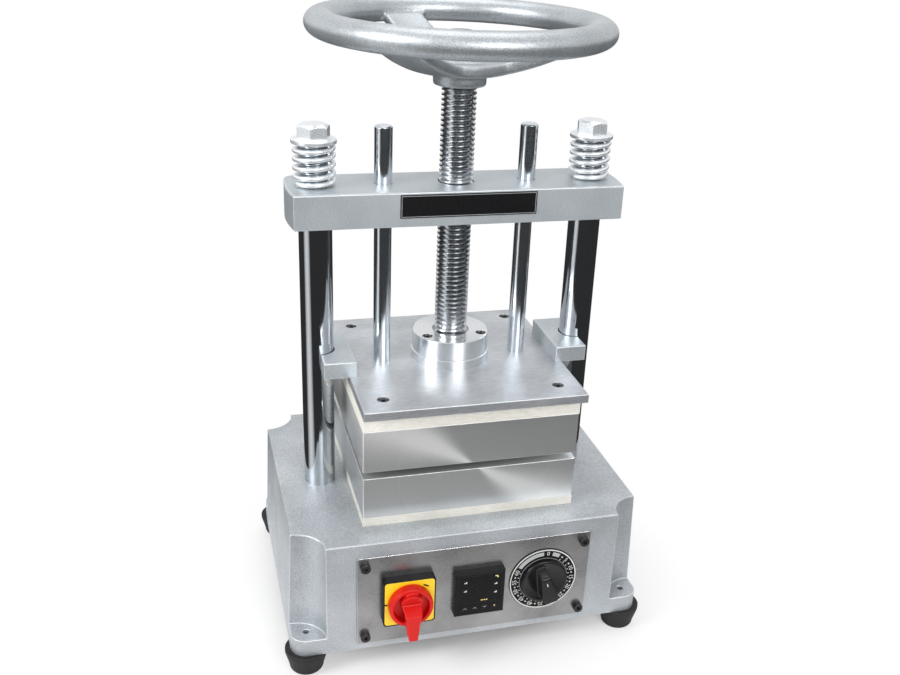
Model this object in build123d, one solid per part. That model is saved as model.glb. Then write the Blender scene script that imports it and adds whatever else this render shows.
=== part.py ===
"""Bench press for curing rubber moulds: two heated platens under a screw and handwheel.

The frame is right handed, in millimetres: +X to the right, +Y to the back, +Z up.
The origin lies on the bench, in the middle of the four bolt holes of the feet.
Each piece is modelled where it sits with the press at rest, a little open.
"""
from build123d import *
from math import cos, sin, pi, radians, sqrt
import os

# ---------------------------------------------------------------- driving sizes
fit_gap = 0.1            # radial room of a screw in its hole
running_gap = 0.05       # radial room of a shaft in a bush
curve_gap = 0.3          # room between curved faces that only pass each other

# feet and base casting
foot_height = 23.0
foot_top_r = 20.0
foot_top_band = 3.0
foot_low_r = 16.0
foot_low_z = 5.5
foot_round_r = 14.9
foot_round_z = 1.7
foot_tread_r = 12.5
foot_spigot_r = 8.0
foot_spigot_depth = 5.0
bench_hole_r = 3.3
bench_inset_x = 15.0
bench_inset_y = 14.5
base_side_margin = 40.5
base_side_draft = 4.5
base_depth = 263.0
base_height = 116.0
base_wall = 7.0
base_deck = 10.0
scoop_r = 29.0
scoop_inset_x = 3.5
lug_height = 17.0
lug_inner_r = 24.0
lug_roof = 6.0
base_top_round = 1.5
vent_height = 22.0
vent_width = 5.0
vent_pitch = 43.0
vent_row_y = 12.5
vent_rise = 51.0
vents_per_side = 4
cover_thickness = 2.0
cover_recess = 2.0
cover_gap = 0.5
cover_slot_count = 7
cover_slot_pitch = 15.0
cover_slot_length = 70.0
cover_slot_width = 4.0
pillar_r = 7.0
pillar_inset_x = 53.0
pillar_inset_y = 13.5
pillar_hole_r = 2.0
pillar_hole_depth = 16.0

# front panel and its controls
panel_width = 225.0
panel_bottom_margin = 7.2
panel_top_margin = 13.8
panel_thickness = 2.0
panel_window_width = 196.0
panel_window_margin = 16.5
panel_screw_inset_x = 7.2
panel_screw_inset_z = 9.0
panel_screw_r = 2.5
panel_screw_head_r = 4.6
panel_screw_head = 5.0
panel_screw_length = 9.0
panel_screw_key = 4.0
switch_x = -65.4
switch_plate_size = 46.6
switch_rim = 1.3
switch_plate_proud = 0.2
switch_plate_thickness = 1.2
switch_corner_r = 3.5
switch_neck_half = 14.5
switch_neck_length = 5.0
switch_housing_depth = 9.0
switch_body_size = 44.0
switch_body_depth = 46.0
handle_r = 20.6
handle_depth = 9.5
handle_wall = 3.8
handle_floor = 2.5
handle_reach = 29.5
handle_rise = 10.5
handle_tip_half = 4.2
handle_waist_half = 6.4
handle_waist_y = -8.0
handle_top_half = 9.5
handle_top_y = 4.0
handle_crown_y = 16.5
handle_tip_under = 6.0
handle_slope_degrees = 28.0
handle_shaft_r = 4.0
shaft_depth = 12.0
controller_x = 2.5
controller_drop = 2.0
controller_size = 48.0
controller_depth = 8.0
controller_body_size = 44.5
controller_body_depth = 90.0
window_inset = 3.5
window_low = 9.0
window_depth = 1.2
clip_rim = 4.0
clip_depth = 14.0
key_width = 7.0
key_height = 4.5
key_pitch = 9.6
key_drop = 15.0
key_room = 0.3
key_depth = 3.0
key_travel = 0.5
key_count = 4
timer_x = 67.0
timer_dial_r = 34.0
timer_dial_thickness = 1.2
timer_body_r = 28.0
timer_body_depth = 48.0
timer_shaft_r = 3.0
knob_r = 23.0
knob_depth = 4.8
knob_rim_round = 1.0
knob_dish_r = 90.0
knob_dish_depth = 2.4
knob_grip_top = 16.5
knob_turn_degrees = 16.0
grip_nose_y = 17.0
grip_nose_half = 3.4
grip_brow_y = 11.5
grip_wide_y = -12.0
grip_wide_half = 8.0
grip_end_y = -18.5
grip_end_half = 5.5

# pieces on the rear wall of the base
gland_x = -85.0
gland_rise = 44.0
gland_thread_r = 8.0
gland_thread_length = 7.0
gland_bore_r = 3.5
gland_flats = 22.0
gland_collar = 5.0
gland_dome_r = 9.5
gland_dome = 11.0
gland_dome_round = 4.0
gland_nut_flats = 21.0
rear_piece_rise = 56.0
ear_width = 9.0
ear_thickness = 5.0
relay_x = 60.0
relay_width = 45.0
relay_height = 62.0
relay_depth = 28.0
terminal_x = -20.0
terminal_width = 22.0
terminal_height = 78.0
terminal_depth = 18.0
terminal_count = 5
terminal_pitch = 11.0
terminal_half_span = 5.0
terminal_well_r = 2.5
terminal_well_depth = 10.0
small_screw_r = 2.0
small_screw_head_r = 3.5
small_screw_head = 1.8
small_screw_key = 2.5
small_screw_length = 10.0

# line of columns, guide rods and spindle
press_y = -8.0
column_r = 15.0
column_length = 265.5
column_room = 11.0
column_spigot_r = 12.0
column_foot_r = 10.0
column_boss_r = 25.0
column_boss_depth = 24.0
column_nut_flats = 30.0
column_nut_height = 14.0
column_nut_washer_r = 18.0
column_tail = 3.0
rod_r = 8.0
rod_half_span = 67.0
rod_stand = 51.0
rod_tail_r = 5.0
rod_nut_flats = 17.0
rod_nut_height = 8.0
rod_nut_pocket_r = 11.0
rod_tail = 2.0

# crossbeam
beam_end_margin = 22.5
beam_bulge = 3.5
beam_depth = 68.0
beam_height = 31.5
beam_edge = 1.0
beam_corner_r = 9.0
bush_wall = 3.0
bush_cover = 5.0
grub_height = 12.0
grub_r = 2.5
grub_bite = 3.0
nut_r = 23.0
label_width = 125.2
label_height = 21.0
label_x = 4.4
label_rise = 18.75
label_thickness = 0.5

# springs, washers and bolts on top of the columns
spring_wire_r = 2.2
spring_mean_r = 16.6
spring_height = 37.5
spring_turns = 4.75
spring_closed_turns = 0.55
spring_blend_turns = 0.7
spring_start_degrees = 200.0
spring_end_gap = 0.7
spring_seat_gap = 0.3
washer_r = 19.8
washer_thickness = 3.0
bolt_flats = 26.0
bolt_head_height = 13.0
bolt_crown_r = 10.6
bolt_crown_height = 2.6
bolt_turn_degrees = 12.0
bolt_shank_r = 8.0
bolt_length = 35.0

# platens and their boards
platen_width = 204.0
platen_depth = 190.0
platen_height = 41.0
lower_board = 9.0
upper_board = 18.0
rest_opening = 7.0
plate_overhang_x = 1.5
plate_overhang_front = 14.0
plate_overhang_back = 8.0
plate_thickness = 8.5
platen_screw_r = 3.0
platen_screw_head_r = 5.0
platen_screw_bite = 12.0
platen_tap_depth = 14.0
plate_screw_recess = 5.0
plate_screw_recess_r = 5.6
platen_screw_inset_x = 20.0
platen_screw_inset_y = 10.0
heater_r = 6.25
heater_end_wall = 20.0
heater_pitch = 62.0
heater_count = 3
heater_tail_r = 3.5
heater_stand = 2.0
heater_tail = 7.0
probe_r = 2.0
probe_depth = 60.0
probe_head_flats = 8.0
probe_head_height = 6.0

# forks that guide the head on the columns
fork_overlap = 6.5
fork_short = 1.0
fork_depth = 72.0
fork_height = 15.5
fork_gap = 1.0
fork_screw_r = 1.5
fork_screw_head_r = 2.75
fork_screw_head = 3.0
fork_screw_y = 25.0
fork_screw_bite = 8.0

# thrust flanges, bearing and spindle
flange_upper_r = 36.5
flange_lower_r = 37.5
flange_lower_height = 9.0
flange_upper_height = 18.5
flange_screw_circle_r = 30.0
flange_screw_count = 3
flange_screw_start = 210.0
flange_screw_r = 2.5
flange_screw_head_r = 4.6
flange_screw_recess = 5.5
flange_screw_bite = 4.5
flange_mouth = 4.5
pocket_r = 23.0
thread_r = 15.5
thread_pitch = 4.5
thread_depth = 2.4
thread_start = 3.0
journal_r = 14.0
collar_r = 22.0
race_outer_r = 21.5
race_thickness = 3.0
ball_r = 3.0
ball_circle_r = 15.5
ball_count = 12

# handwheel
wheel_r = 120.0
rim_radial = 14.0
rim_vertical = 11.5
rim_rise = 50.0
hub_r = 23.5
hub_clearance = 85.5
hub_height = 28.0
hub_neck = 11.5
dish_r = 42.0
dish_thickness = 9.0
bowl_into_rim = 6.0
bowl_below_rim = 4.0
bowl_middle = 30.0
bowl_middle_rise = 10.5
spoke_width = 40.0
spoke_fillet = 10.0
spoke_angles = (106.0, 226.0, 346.0)
shank_r = 11.0
shank_nut_flats = 30.0
shank_nut_height = 12.0
shank_end = 3.0
wheel_washer_r = 18.0
wheel_key_half = 3.0
wheel_key_height = 5.0
wheel_key_inset = 4.0

# ---------------------------------------------------------------- derived levels
base_bottom_z = foot_height
base_top_z = base_bottom_z + base_height
column_half_span = platen_width / 2 + column_room + column_r
base_top_width = 2 * (column_half_span + base_side_margin)
base_bottom_width = base_top_width + 2 * base_side_draft
scoop_x = base_bottom_width / 2 - scoop_inset_x
pillar_x = base_bottom_width / 2 - pillar_inset_x
pillar_y = base_depth / 2 - pillar_inset_y
deck_under_z = base_top_z - base_deck
lug_top_z = base_bottom_z + lug_height
base_front_y = -base_depth / 2
base_back_y = base_depth / 2
panel_front_y = base_front_y - panel_thickness
bench_x = base_bottom_width / 2 - bench_inset_x
bench_y = base_depth / 2 - bench_inset_y
lug_r = bench_inset_y
panel_height = base_height - panel_bottom_margin - panel_top_margin
panel_centre_z = base_bottom_z + panel_bottom_margin + panel_height / 2
panel_window_height = panel_height - 2 * panel_window_margin
controller_z = panel_centre_z - controller_drop
vent_z = base_bottom_z + vent_rise
gland_z = base_bottom_z + gland_rise
rear_piece_z = base_bottom_z + rear_piece_rise
rear_wall_y = base_back_y - base_wall
lower_platen_z = base_top_z + lower_board
lower_face_z = lower_platen_z + platen_height
upper_face_z = lower_face_z + rest_opening
upper_platen_top_z = upper_face_z + platen_height
plate_bottom_z = upper_platen_top_z + upper_board
plate_top_z = plate_bottom_z + plate_thickness
flange_split_z = plate_top_z + flange_lower_height
flange_top_z = flange_split_z + flange_upper_height
beam_bottom_z = base_top_z + column_length
beam_top_z = beam_bottom_z + beam_height
beam_front_y = press_y - beam_depth / 2
beam_back_y = press_y + beam_depth / 2
beam_length = 2 * (column_half_span + beam_end_margin)
platen_screw_x = platen_width / 2 - platen_screw_inset_x
platen_screw_y = platen_depth / 2 - platen_screw_inset_y
plate_width = platen_width + 2 * plate_overhang_x
platen_front_y = press_y - platen_depth / 2
platen_back_y = press_y + platen_depth / 2
heater_length = platen_depth - heater_end_wall
fork_inner_x = plate_width / 2 - fork_overlap
fork_outer_x = column_half_span - fork_short
fork_screw_x = fork_inner_x + fork_overlap / 2
rod_top_z = beam_top_z + rod_stand
hub_bottom_z = beam_top_z + hub_clearance
hub_top_z = hub_bottom_z + hub_height
wheel_centre_z = hub_bottom_z + rim_rise
shank_top_z = hub_top_z + washer_thickness + shank_nut_height + shank_end
bush_outer_r = column_spigot_r + running_gap + bush_wall
rod_bush_outer_r = rod_r + running_gap + bush_wall
grub_z = beam_bottom_z + grub_height
washer_bottom_z = beam_top_z + spring_height
washer_top_z = washer_bottom_z + washer_thickness
spring_end_pitch = 2 * spring_wire_r + spring_end_gap
nodes = {}


# ---------------------------------------------------------------- helpers
def upright(radius, low, high, x=0.0, y=0.0):
    """A round bar along Z."""
    return Pos(x, y, (low + high) / 2) * Cylinder(radius, high - low)


def lying(radius, front, back, x, z):
    """A round bar along Y."""
    return Pos(x, (front + back) / 2, z) * Rot(90, 0, 0) * Cylinder(radius, back - front)


def block(x_low, x_high, y_low, y_high, z_low, z_high):
    centre = Pos((x_low + x_high) / 2, (y_low + y_high) / 2, (z_low + z_high) / 2)
    return centre * Box(x_high - x_low, y_high - y_low, z_high - z_low)


def hexagon(flats, height):
    """A six-sided bar standing on the XY plane."""
    return extrude(RegularPolygon(flats / sqrt(3), 6), height)


def ring(outer_r, inner_r, low, high, x=0.0, y=0.0):
    return upright(outer_r, low, high, x, y) - upright(inner_r, low - 1, high + 1, x, y)


def socket_screw(shank_r, head_r, head_height, length, key_flats):
    """A cap screw with its head on the XY plane and its shank pointing down."""
    head = upright(head_r, 0, head_height)
    head = chamfer(head.edges().sort_by(Axis.Z)[-1], 0.4)
    socket = Pos(0, 0, head_height * 0.45) * hexagon(key_flats, head_height)
    return head + upright(shank_r, -length, 0.01) - socket


def group(pieces):
    solids = []
    for piece in pieces:
        solids.extend(piece.solids())
    return Compound(children=solids)


def four(half_x, half_y, centre_y=0.0):
    """The four corners of a rectangle, as (x, y) pairs."""
    corners = []
    for side_x in (-1, 1):
        for side_y in (-1, 1):
            corners.append((side_x * half_x, centre_y + side_y * half_y))
    return corners


def rounded_plate(width, height, corner_r, front, back, x, z):
    """A plate facing the front, with rounded corners."""
    outline = RectangleRounded(width, height, corner_r)
    plate = extrude(outline, back - front)
    return Pos(x, back, z) * Rot(90, 0, 0) * plate


def facing_front(piece, x, y, z):
    """Turn a piece made standing up so that its top faces the front."""
    return Pos(x, y, z) * Rot(90, 0, 0) * piece


# ---------------------------------------------------------------- base
def side_wall_x(z):
    """Half the width of the drafted casting at a height."""
    share = (z - base_bottom_z) / base_height
    return base_bottom_width / 2 + share * (base_top_width - base_bottom_width) / 2


def drafted_block(inset, low, high, half_depth):
    points = [(-side_wall_x(low) + inset, low), (side_wall_x(low) - inset, low),
              (side_wall_x(high) - inset, high), (-side_wall_x(high) + inset, high)]
    return extrude(Plane.XZ * Polygon(*points, align=None), half_depth, both=True)


def make_base_casting():
    body = drafted_block(0, base_bottom_z, base_top_z, base_depth / 2)
    for x, y in four(scoop_x, base_depth / 2):
        body -= upright(scoop_r, lug_top_z, base_top_z + 5, x, y)
    for side_x in (-1, 1):
        for side_y in (-1, 1):
            corner = Pos(side_x * (bench_x + lug_r), side_y * (bench_y + lug_r),
                         base_bottom_z + lug_height / 2) * Box(2 * lug_r, 2 * lug_r, lug_height)
            corner -= upright(lug_r, base_bottom_z - 1, lug_top_z + 1,
                              side_x * bench_x, side_y * bench_y)
            body -= corner
    top_edges = body.faces().sort_by(Axis.Z)[-1].edges()
    body = fillet(top_edges, base_top_round)
    cavity = drafted_block(base_wall, base_bottom_z, deck_under_z, base_depth / 2 - base_wall)
    for x, y in four(scoop_x, base_depth / 2):
        cavity -= upright(scoop_r + base_wall, base_bottom_z, deck_under_z, x, y)
    for x, y in four(bench_x, bench_y):
        cavity -= upright(lug_inner_r, base_bottom_z, lug_top_z + lug_roof, x, y)
    pillar_low = base_bottom_z + cover_recess + cover_thickness
    for x, y in four(pillar_x, pillar_y):
        cavity -= upright(pillar_r, pillar_low, deck_under_z, x, y)
    for side in (-1, 1):
        cavity -= upright(column_boss_r, deck_under_z - column_boss_depth, deck_under_z,
                          side * column_half_span, press_y)
    body -= cavity
    for x, y in four(bench_x, bench_y):
        body += upright(foot_spigot_r, base_bottom_z - foot_spigot_depth, base_bottom_z + 1, x, y)
        body -= upright(bench_hole_r, 0, lug_top_z + 1, x, y)
    for side in (-1, 1):
        body -= upright(column_foot_r + fit_gap, deck_under_z - column_boss_depth - 1,
                        base_top_z + 1, side * column_half_span, press_y)
    for x, y in four(platen_screw_x, platen_screw_y, press_y):
        body -= upright(platen_screw_r + fit_gap, deck_under_z - 1, base_top_z + 1, x, y)
    for x, y in four(pillar_x, pillar_y):
        body -= upright(pillar_hole_r, base_bottom_z, base_bottom_z + pillar_hole_depth, x, y)
    front_wall_back = base_front_y + base_wall
    body -= block(-panel_window_width / 2, panel_window_width / 2,
                  base_front_y - 1, front_wall_back + 1,
                  panel_centre_z - panel_window_height / 2, panel_centre_z + panel_window_height / 2)
    for x, z in panel_screw_places():
        body -= lying(panel_screw_r + fit_gap, base_front_y - 1, front_wall_back + 1, x, z)
    for number in range(vents_per_side):
        slot_y = vent_row_y + (number - (vents_per_side - 1) / 2) * vent_pitch
        slot = Plane.YZ * (Pos(slot_y, vent_z) * Rot(0, 0, 90)
                           * SlotOverall(vent_height, vent_width))
        for side in (-1, 1):
            body -= Pos(side * side_wall_x(vent_z), 0, 0) * extrude(slot, base_wall + 5, both=True)
    body -= lying(gland_thread_r + fit_gap, rear_wall_y - 1, base_back_y + 1, gland_x, gland_z)
    for x, z in wall_screw_places():
        body -= lying(small_screw_r, rear_wall_y - 1, base_back_y - 1, x, z)
    return body


def panel_screw_places():
    half_x = panel_width / 2 - panel_screw_inset_x
    half_z = panel_height / 2 - panel_screw_inset_z
    return four(half_x, half_z, panel_centre_z)


def wall_screw_places():
    """Where the relay and the terminal strip are screwed to the rear wall."""
    places = []
    for x, height in ((relay_x, relay_height), (terminal_x, terminal_height)):
        half_pitch = (height - ear_width) / 2
        places += [(x, rear_piece_z - half_pitch), (x, rear_piece_z + half_pitch)]
    return places


def make_foot(x, y):
    """A tapered rubber foot, pushed on a spigot of the casting and bored for the bench bolt."""
    spigot_low = foot_height - foot_spigot_depth
    tread = Line((bench_hole_r, 0), (foot_tread_r, 0))
    rounding = ThreePointArc((foot_tread_r, 0), (foot_round_r, foot_round_z), (foot_low_r, foot_low_z))
    side = Polyline((foot_low_r, foot_low_z), (foot_top_r, foot_height - foot_top_band),
                    (foot_top_r, foot_height), (foot_spigot_r, foot_height),
                    (foot_spigot_r, spigot_low), (bench_hole_r, spigot_low), (bench_hole_r, 0))
    face = make_face(Plane.XZ * Wire([tread, rounding, *side.edges()]))
    return Pos(x, y, 0) * revolve(face, Axis.Z)


def make_bottom_cover():
    low = base_bottom_z + cover_recess
    high = low + cover_thickness
    cover = drafted_block(base_wall + cover_gap, low, high, base_depth / 2 - base_wall - cover_gap)
    for x, y in four(scoop_x, base_depth / 2):
        cover -= upright(scoop_r + base_wall + cover_gap, low - 1, high + 1, x, y)
    for x, y in four(bench_x, bench_y):
        cover -= upright(lug_inner_r + cover_gap, low - 1, high + 1, x, y)
    for x, y in four(pillar_x, pillar_y):
        cover -= upright(small_screw_r + fit_gap, low - 1, high + 1, x, y)
    for number in range(cover_slot_count):
        slot_y = (number - (cover_slot_count - 1) / 2) * cover_slot_pitch
        slot = Pos(0, slot_y, 0) * SlotOverall(cover_slot_length, cover_slot_width)
        cover -= Pos(0, 0, low - 1) * extrude(slot, cover_thickness + 2)
    return cover


nodes["base_casting"] = make_base_casting()
nodes["rubber_feet"] = group([make_foot(x, y) for x, y in four(bench_x, bench_y)])
nodes["bottom_cover"] = make_bottom_cover()


# ---------------------------------------------------------------- front panel
def make_front_panel():
    panel = rounded_plate(panel_width, panel_height, 1.5, panel_front_y, base_front_y, 0, panel_centre_z)
    for x, z in panel_screw_places():
        panel -= lying(panel_screw_r + fit_gap, panel_front_y - 1, base_front_y + 1, x, z)
    for x, z, half in ((switch_x, panel_centre_z, switch_neck_half + fit_gap),
                       (controller_x, controller_z, controller_body_size / 2 + fit_gap)):
        panel -= block(x - half, x + half, panel_front_y - 1, base_front_y + 1, z - half, z + half)
    panel -= lying(timer_shaft_r + 2, panel_front_y - 1, base_front_y + 1, timer_x, panel_centre_z)
    return panel


def make_switch_housing():
    size = switch_plate_size + 2 * switch_rim
    front = panel_front_y - switch_housing_depth
    recess_back = front + switch_plate_thickness - switch_plate_proud
    recess_size = switch_plate_size + 2 * fit_gap
    housing = rounded_plate(size, size, switch_corner_r, front, panel_front_y, switch_x, panel_centre_z)
    housing += block(switch_x - switch_neck_half, switch_x + switch_neck_half,
                     panel_front_y - 1, panel_front_y + switch_neck_length,
                     panel_centre_z - switch_neck_half, panel_centre_z + switch_neck_half)
    housing -= rounded_plate(recess_size, recess_size, switch_corner_r - 0.5, front - 1, recess_back,
                             switch_x, panel_centre_z)
    return housing - lying(handle_shaft_r + running_gap, front - 2, base_front_y + 5,
                           switch_x, panel_centre_z)


def make_switch_plate():
    front = panel_front_y - switch_housing_depth - switch_plate_proud
    plate = rounded_plate(switch_plate_size, switch_plate_size, switch_corner_r - 0.6,
                          front, front + switch_plate_thickness, switch_x, panel_centre_z)
    return plate - lying(handle_shaft_r + 3, front - 2, front + 2, switch_x, panel_centre_z)


def make_switch_handle():
    """A red rotary handle: a shallow cup with a tapered lever across it, pointing down."""
    cup = upright(handle_r, 0, handle_depth)
    cup = fillet(cup.edges().sort_by(Axis.Z)[-1], 1.6)
    cup -= upright(handle_r - handle_wall, handle_floor, handle_depth + 1)
    top = handle_depth + handle_rise
    left = Polyline((-handle_top_half, handle_top_y), (-handle_waist_half, handle_waist_y),
                    (-handle_tip_half, -handle_reach), (handle_tip_half, -handle_reach))
    right = Polyline((handle_tip_half, -handle_reach), (handle_waist_half, handle_waist_y),
                     (handle_top_half, handle_top_y))
    crown = ThreePointArc((handle_top_half, handle_top_y), (0, handle_crown_y),
                          (-handle_top_half, handle_top_y))
    lever = extrude(make_face(Wire([*left.edges(), *right.edges(), crown])), top)
    lever = fillet(lever.edges().filter_by(Axis.Z), 1.2)
    lever = fillet(lever.faces().sort_by(Axis.Z)[-1].edges(), 1.5)
    lever -= Pos(0, -handle_r - 10, 0) * Box(30, 20, 2 * handle_tip_under)
    lever -= Pos(0, 12, top + 1) * Rot(handle_slope_degrees, 0, 0) * Box(40, 26, 14)
    front = panel_front_y - switch_housing_depth - switch_plate_proud - curve_gap
    handle = facing_front(cup + lever, switch_x, front, panel_centre_z)
    return handle + lying(handle_shaft_r, front - 1, base_front_y + shaft_depth, switch_x, panel_centre_z)


def make_switch_body():
    front = panel_front_y + switch_neck_length
    half = switch_body_size / 2
    body = block(switch_x - half, switch_x + half, front, front + switch_body_depth,
                 panel_centre_z - half, panel_centre_z + half)
    body = chamfer(body.edges().filter_by(Axis.Y), 2)
    return body - lying(handle_shaft_r + running_gap, front - 1, base_front_y + shaft_depth + fit_gap,
                        switch_x, panel_centre_z)


def make_controller_case():
    half = controller_size / 2
    front = panel_front_y - controller_depth
    bezel = block(controller_x - half, controller_x + half, front, panel_front_y,
                  controller_z - half, controller_z + half)
    bezel = chamfer(bezel.faces().sort_by(Axis.Y)[0].edges(), 1.2)
    window_half = half - window_inset
    bezel -= block(controller_x - window_half, controller_x + window_half, front - 1, front + window_depth,
                   controller_z - window_low, controller_z + window_half)
    for x in key_places():
        bezel -= key_block(x, front - 1, front + key_depth, key_room)
    body_half = controller_body_size / 2
    body = block(controller_x - body_half, controller_x + body_half, panel_front_y,
                 base_front_y + controller_body_depth, controller_z - body_half, controller_z + body_half)
    return bezel + body


def key_places():
    middle = (key_count - 1) / 2
    return [controller_x + (number - middle) * key_pitch for number in range(key_count)]


def key_block(x, front, back, room):
    z = controller_z - key_drop
    return block(x - key_width / 2 - room, x + key_width / 2 + room, front, back,
                 z - key_height / 2 - room, z + key_height / 2 + room)


def make_controller_window():
    front = panel_front_y - controller_depth
    half = controller_size / 2 - window_inset - fit_gap
    return block(controller_x - half, controller_x + half, front + 0.2, front + window_depth,
                 controller_z - window_low + fit_gap, controller_z + half)


def make_key(x):
    front = panel_front_y - controller_depth - key_travel - fit_gap
    key = key_block(x, front, front + key_depth - key_travel + fit_gap, 0)
    return chamfer(key.faces().sort_by(Axis.Y)[0].edges(), 0.3)


def make_controller_clip():
    inner_half = controller_body_size / 2
    outer_half = inner_half + clip_rim
    outer = block(controller_x - outer_half, controller_x + outer_half,
                  base_front_y, base_front_y + clip_depth,
                  controller_z - outer_half, controller_z + outer_half)
    inner = block(controller_x - inner_half, controller_x + inner_half,
                  base_front_y - 1, base_front_y + clip_depth + 1,
                  controller_z - inner_half, controller_z + inner_half)
    return outer - inner


def make_timer_dial():
    front = panel_front_y - timer_dial_thickness
    dial = lying(timer_dial_r, front, panel_front_y, timer_x, panel_centre_z)
    dial = chamfer(dial.edges().sort_by(Axis.Y)[0], 0.6)
    return dial - lying(timer_shaft_r + 2, front - 1, panel_front_y + 1, timer_x, panel_centre_z)


def make_timer_knob():
    """A flat dished knob with a wedge-shaped grip, which rises at its nose and points down."""
    disc = Cylinder(knob_r, knob_depth, align=(Align.CENTER, Align.CENTER, Align.MIN))
    disc = fillet(disc.edges().sort_by(Axis.Z)[-1], knob_rim_round)
    disc -= Pos(0, 0, knob_depth - knob_dish_depth + knob_dish_r) * Sphere(knob_dish_r)
    plan = Polygon((-grip_nose_half, grip_nose_y), (-grip_wide_half, grip_wide_y),
                   (-grip_end_half, grip_end_y), (grip_end_half, grip_end_y),
                   (grip_wide_half, grip_wide_y), (grip_nose_half, grip_nose_y), align=None)
    side = Polygon((grip_end_y, 0), (grip_end_y, knob_grip_top - 1.5), (grip_end_y + 2, knob_grip_top),
                   (grip_brow_y, knob_grip_top), (grip_brow_y + 1.5, knob_grip_top - 1.5),
                   (grip_nose_y, knob_depth - 1), (grip_nose_y, 0), align=None)
    grip = extrude(plan, knob_grip_top) & extrude(Plane.YZ * side, grip_wide_half + 1, both=True)
    grip = fillet(grip.edges().filter_by(Axis.Z), 1.2)
    knob = Rot(0, 0, knob_turn_degrees) * (disc + grip)
    front = panel_front_y - timer_dial_thickness - curve_gap
    return facing_front(knob, timer_x, front, panel_centre_z)


def make_timer_shaft():
    front = panel_front_y - timer_dial_thickness - curve_gap
    return lying(timer_shaft_r, front, base_front_y + shaft_depth, timer_x, panel_centre_z)


def make_timer_body():
    body = lying(timer_body_r, base_front_y, base_front_y + timer_body_depth, timer_x, panel_centre_z)
    return body - lying(timer_shaft_r + running_gap, base_front_y - 1, base_front_y + shaft_depth + 0.2,
                        timer_x, panel_centre_z)


nodes["front_panel"] = make_front_panel()
panel_screw = socket_screw(panel_screw_r, panel_screw_head_r, panel_screw_head,
                           panel_screw_length, panel_screw_key)
nodes["panel_screws"] = group(
    [facing_front(panel_screw, x, panel_front_y, z) for x, z in panel_screw_places()])
nodes["switch_housing"] = make_switch_housing()
nodes["switch_plate"] = make_switch_plate()
nodes["switch_handle"] = make_switch_handle()
nodes["switch_contact_block"] = make_switch_body()
nodes["controller_case"] = make_controller_case()
nodes["controller_window"] = make_controller_window()
nodes["controller_clip"] = make_controller_clip()
for key_number, key_x in enumerate(key_places()):
    nodes["controller_key_%d" % (key_number + 1)] = make_key(key_x)
nodes["timer_dial"] = make_timer_dial()
nodes["timer_knob"] = make_timer_knob()
nodes["timer_shaft"] = make_timer_shaft()
nodes["timer_body"] = make_timer_body()


# ---------------------------------------------------------------- wiring pieces in the base
def make_gland():
    body = lying(gland_thread_r, rear_wall_y - gland_thread_length, base_back_y + 0.01, gland_x, gland_z)
    collar = Pos(gland_x, base_back_y, gland_z) * Rot(-90, 0, 0) * hexagon(gland_flats, gland_collar)
    dome_front = base_back_y + gland_collar
    dome = lying(gland_dome_r, dome_front - 0.01, dome_front + gland_dome, gland_x, gland_z)
    dome = fillet(dome.edges().sort_by(Axis.Y)[-1], gland_dome_round)
    bore = lying(gland_bore_r, rear_wall_y - 30, base_back_y + 30, gland_x, gland_z)
    return body + collar + dome - bore


def make_gland_nut():
    nut = Pos(gland_x, rear_wall_y - gland_collar, gland_z) * Rot(-90, 0, 0) * hexagon(
        gland_nut_flats, gland_collar)
    return nut - lying(gland_thread_r, rear_wall_y - 30, base_back_y, gland_x, gland_z)


def wall_piece(x, width, height, depth):
    """A block on the rear wall with a screwed ear above and below."""
    body_half = height / 2 - ear_width
    piece = block(x - width / 2, x + width / 2, rear_wall_y - depth, rear_wall_y,
                  rear_piece_z - body_half, rear_piece_z + body_half)
    piece = chamfer(piece.faces().sort_by(Axis.Y)[0].edges(), 1)
    piece += block(x - width / 2, x + width / 2, rear_wall_y - ear_thickness, rear_wall_y,
                   rear_piece_z - height / 2, rear_piece_z + height / 2)
    for screw_x, z in wall_screw_places():
        piece -= lying(small_screw_r + fit_gap, rear_wall_y - ear_thickness - 1, rear_wall_y + 1, screw_x, z)
    return piece


def make_terminal_strip():
    strip = wall_piece(terminal_x, terminal_width, terminal_height, terminal_depth)
    front = rear_wall_y - terminal_depth
    for number in range(terminal_count):
        z = rear_piece_z + (number - (terminal_count - 1) / 2) * terminal_pitch
        for side in (-1, 1):
            strip -= lying(terminal_well_r, front - 1, front + terminal_well_depth,
                           terminal_x + side * terminal_half_span, z)
    return strip


nodes["cord_gland"] = group([make_gland(), make_gland_nut()])
nodes["solid_state_relay"] = wall_piece(relay_x, relay_width, relay_height, relay_depth)
nodes["terminal_strip"] = make_terminal_strip()
small_screw = socket_screw(small_screw_r - fit_gap, small_screw_head_r, small_screw_head,
                           small_screw_length, small_screw_key)
ear_front_y = rear_wall_y - ear_thickness
cover_screw_z = base_bottom_z + cover_recess
nodes["small_screws"] = group(
    [facing_front(small_screw, x, ear_front_y, z) for x, z in wall_screw_places()]
    + [Pos(x, y, cover_screw_z) * Rot(180, 0, 0) * small_screw for x, y in four(pillar_x, pillar_y)])


# ---------------------------------------------------------------- columns
def make_column(x):
    foot_low = deck_under_z - column_boss_depth - washer_thickness - column_nut_height - column_tail
    column = upright(column_r, base_top_z, beam_bottom_z, x, press_y)
    column += upright(column_foot_r, foot_low, base_top_z + 0.01, x, press_y)
    column += upright(column_spigot_r, beam_bottom_z - 0.01, washer_bottom_z, x, press_y)
    column -= upright(bolt_shank_r, washer_bottom_z - bolt_length, washer_bottom_z + 1, x, press_y)
    return column


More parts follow.
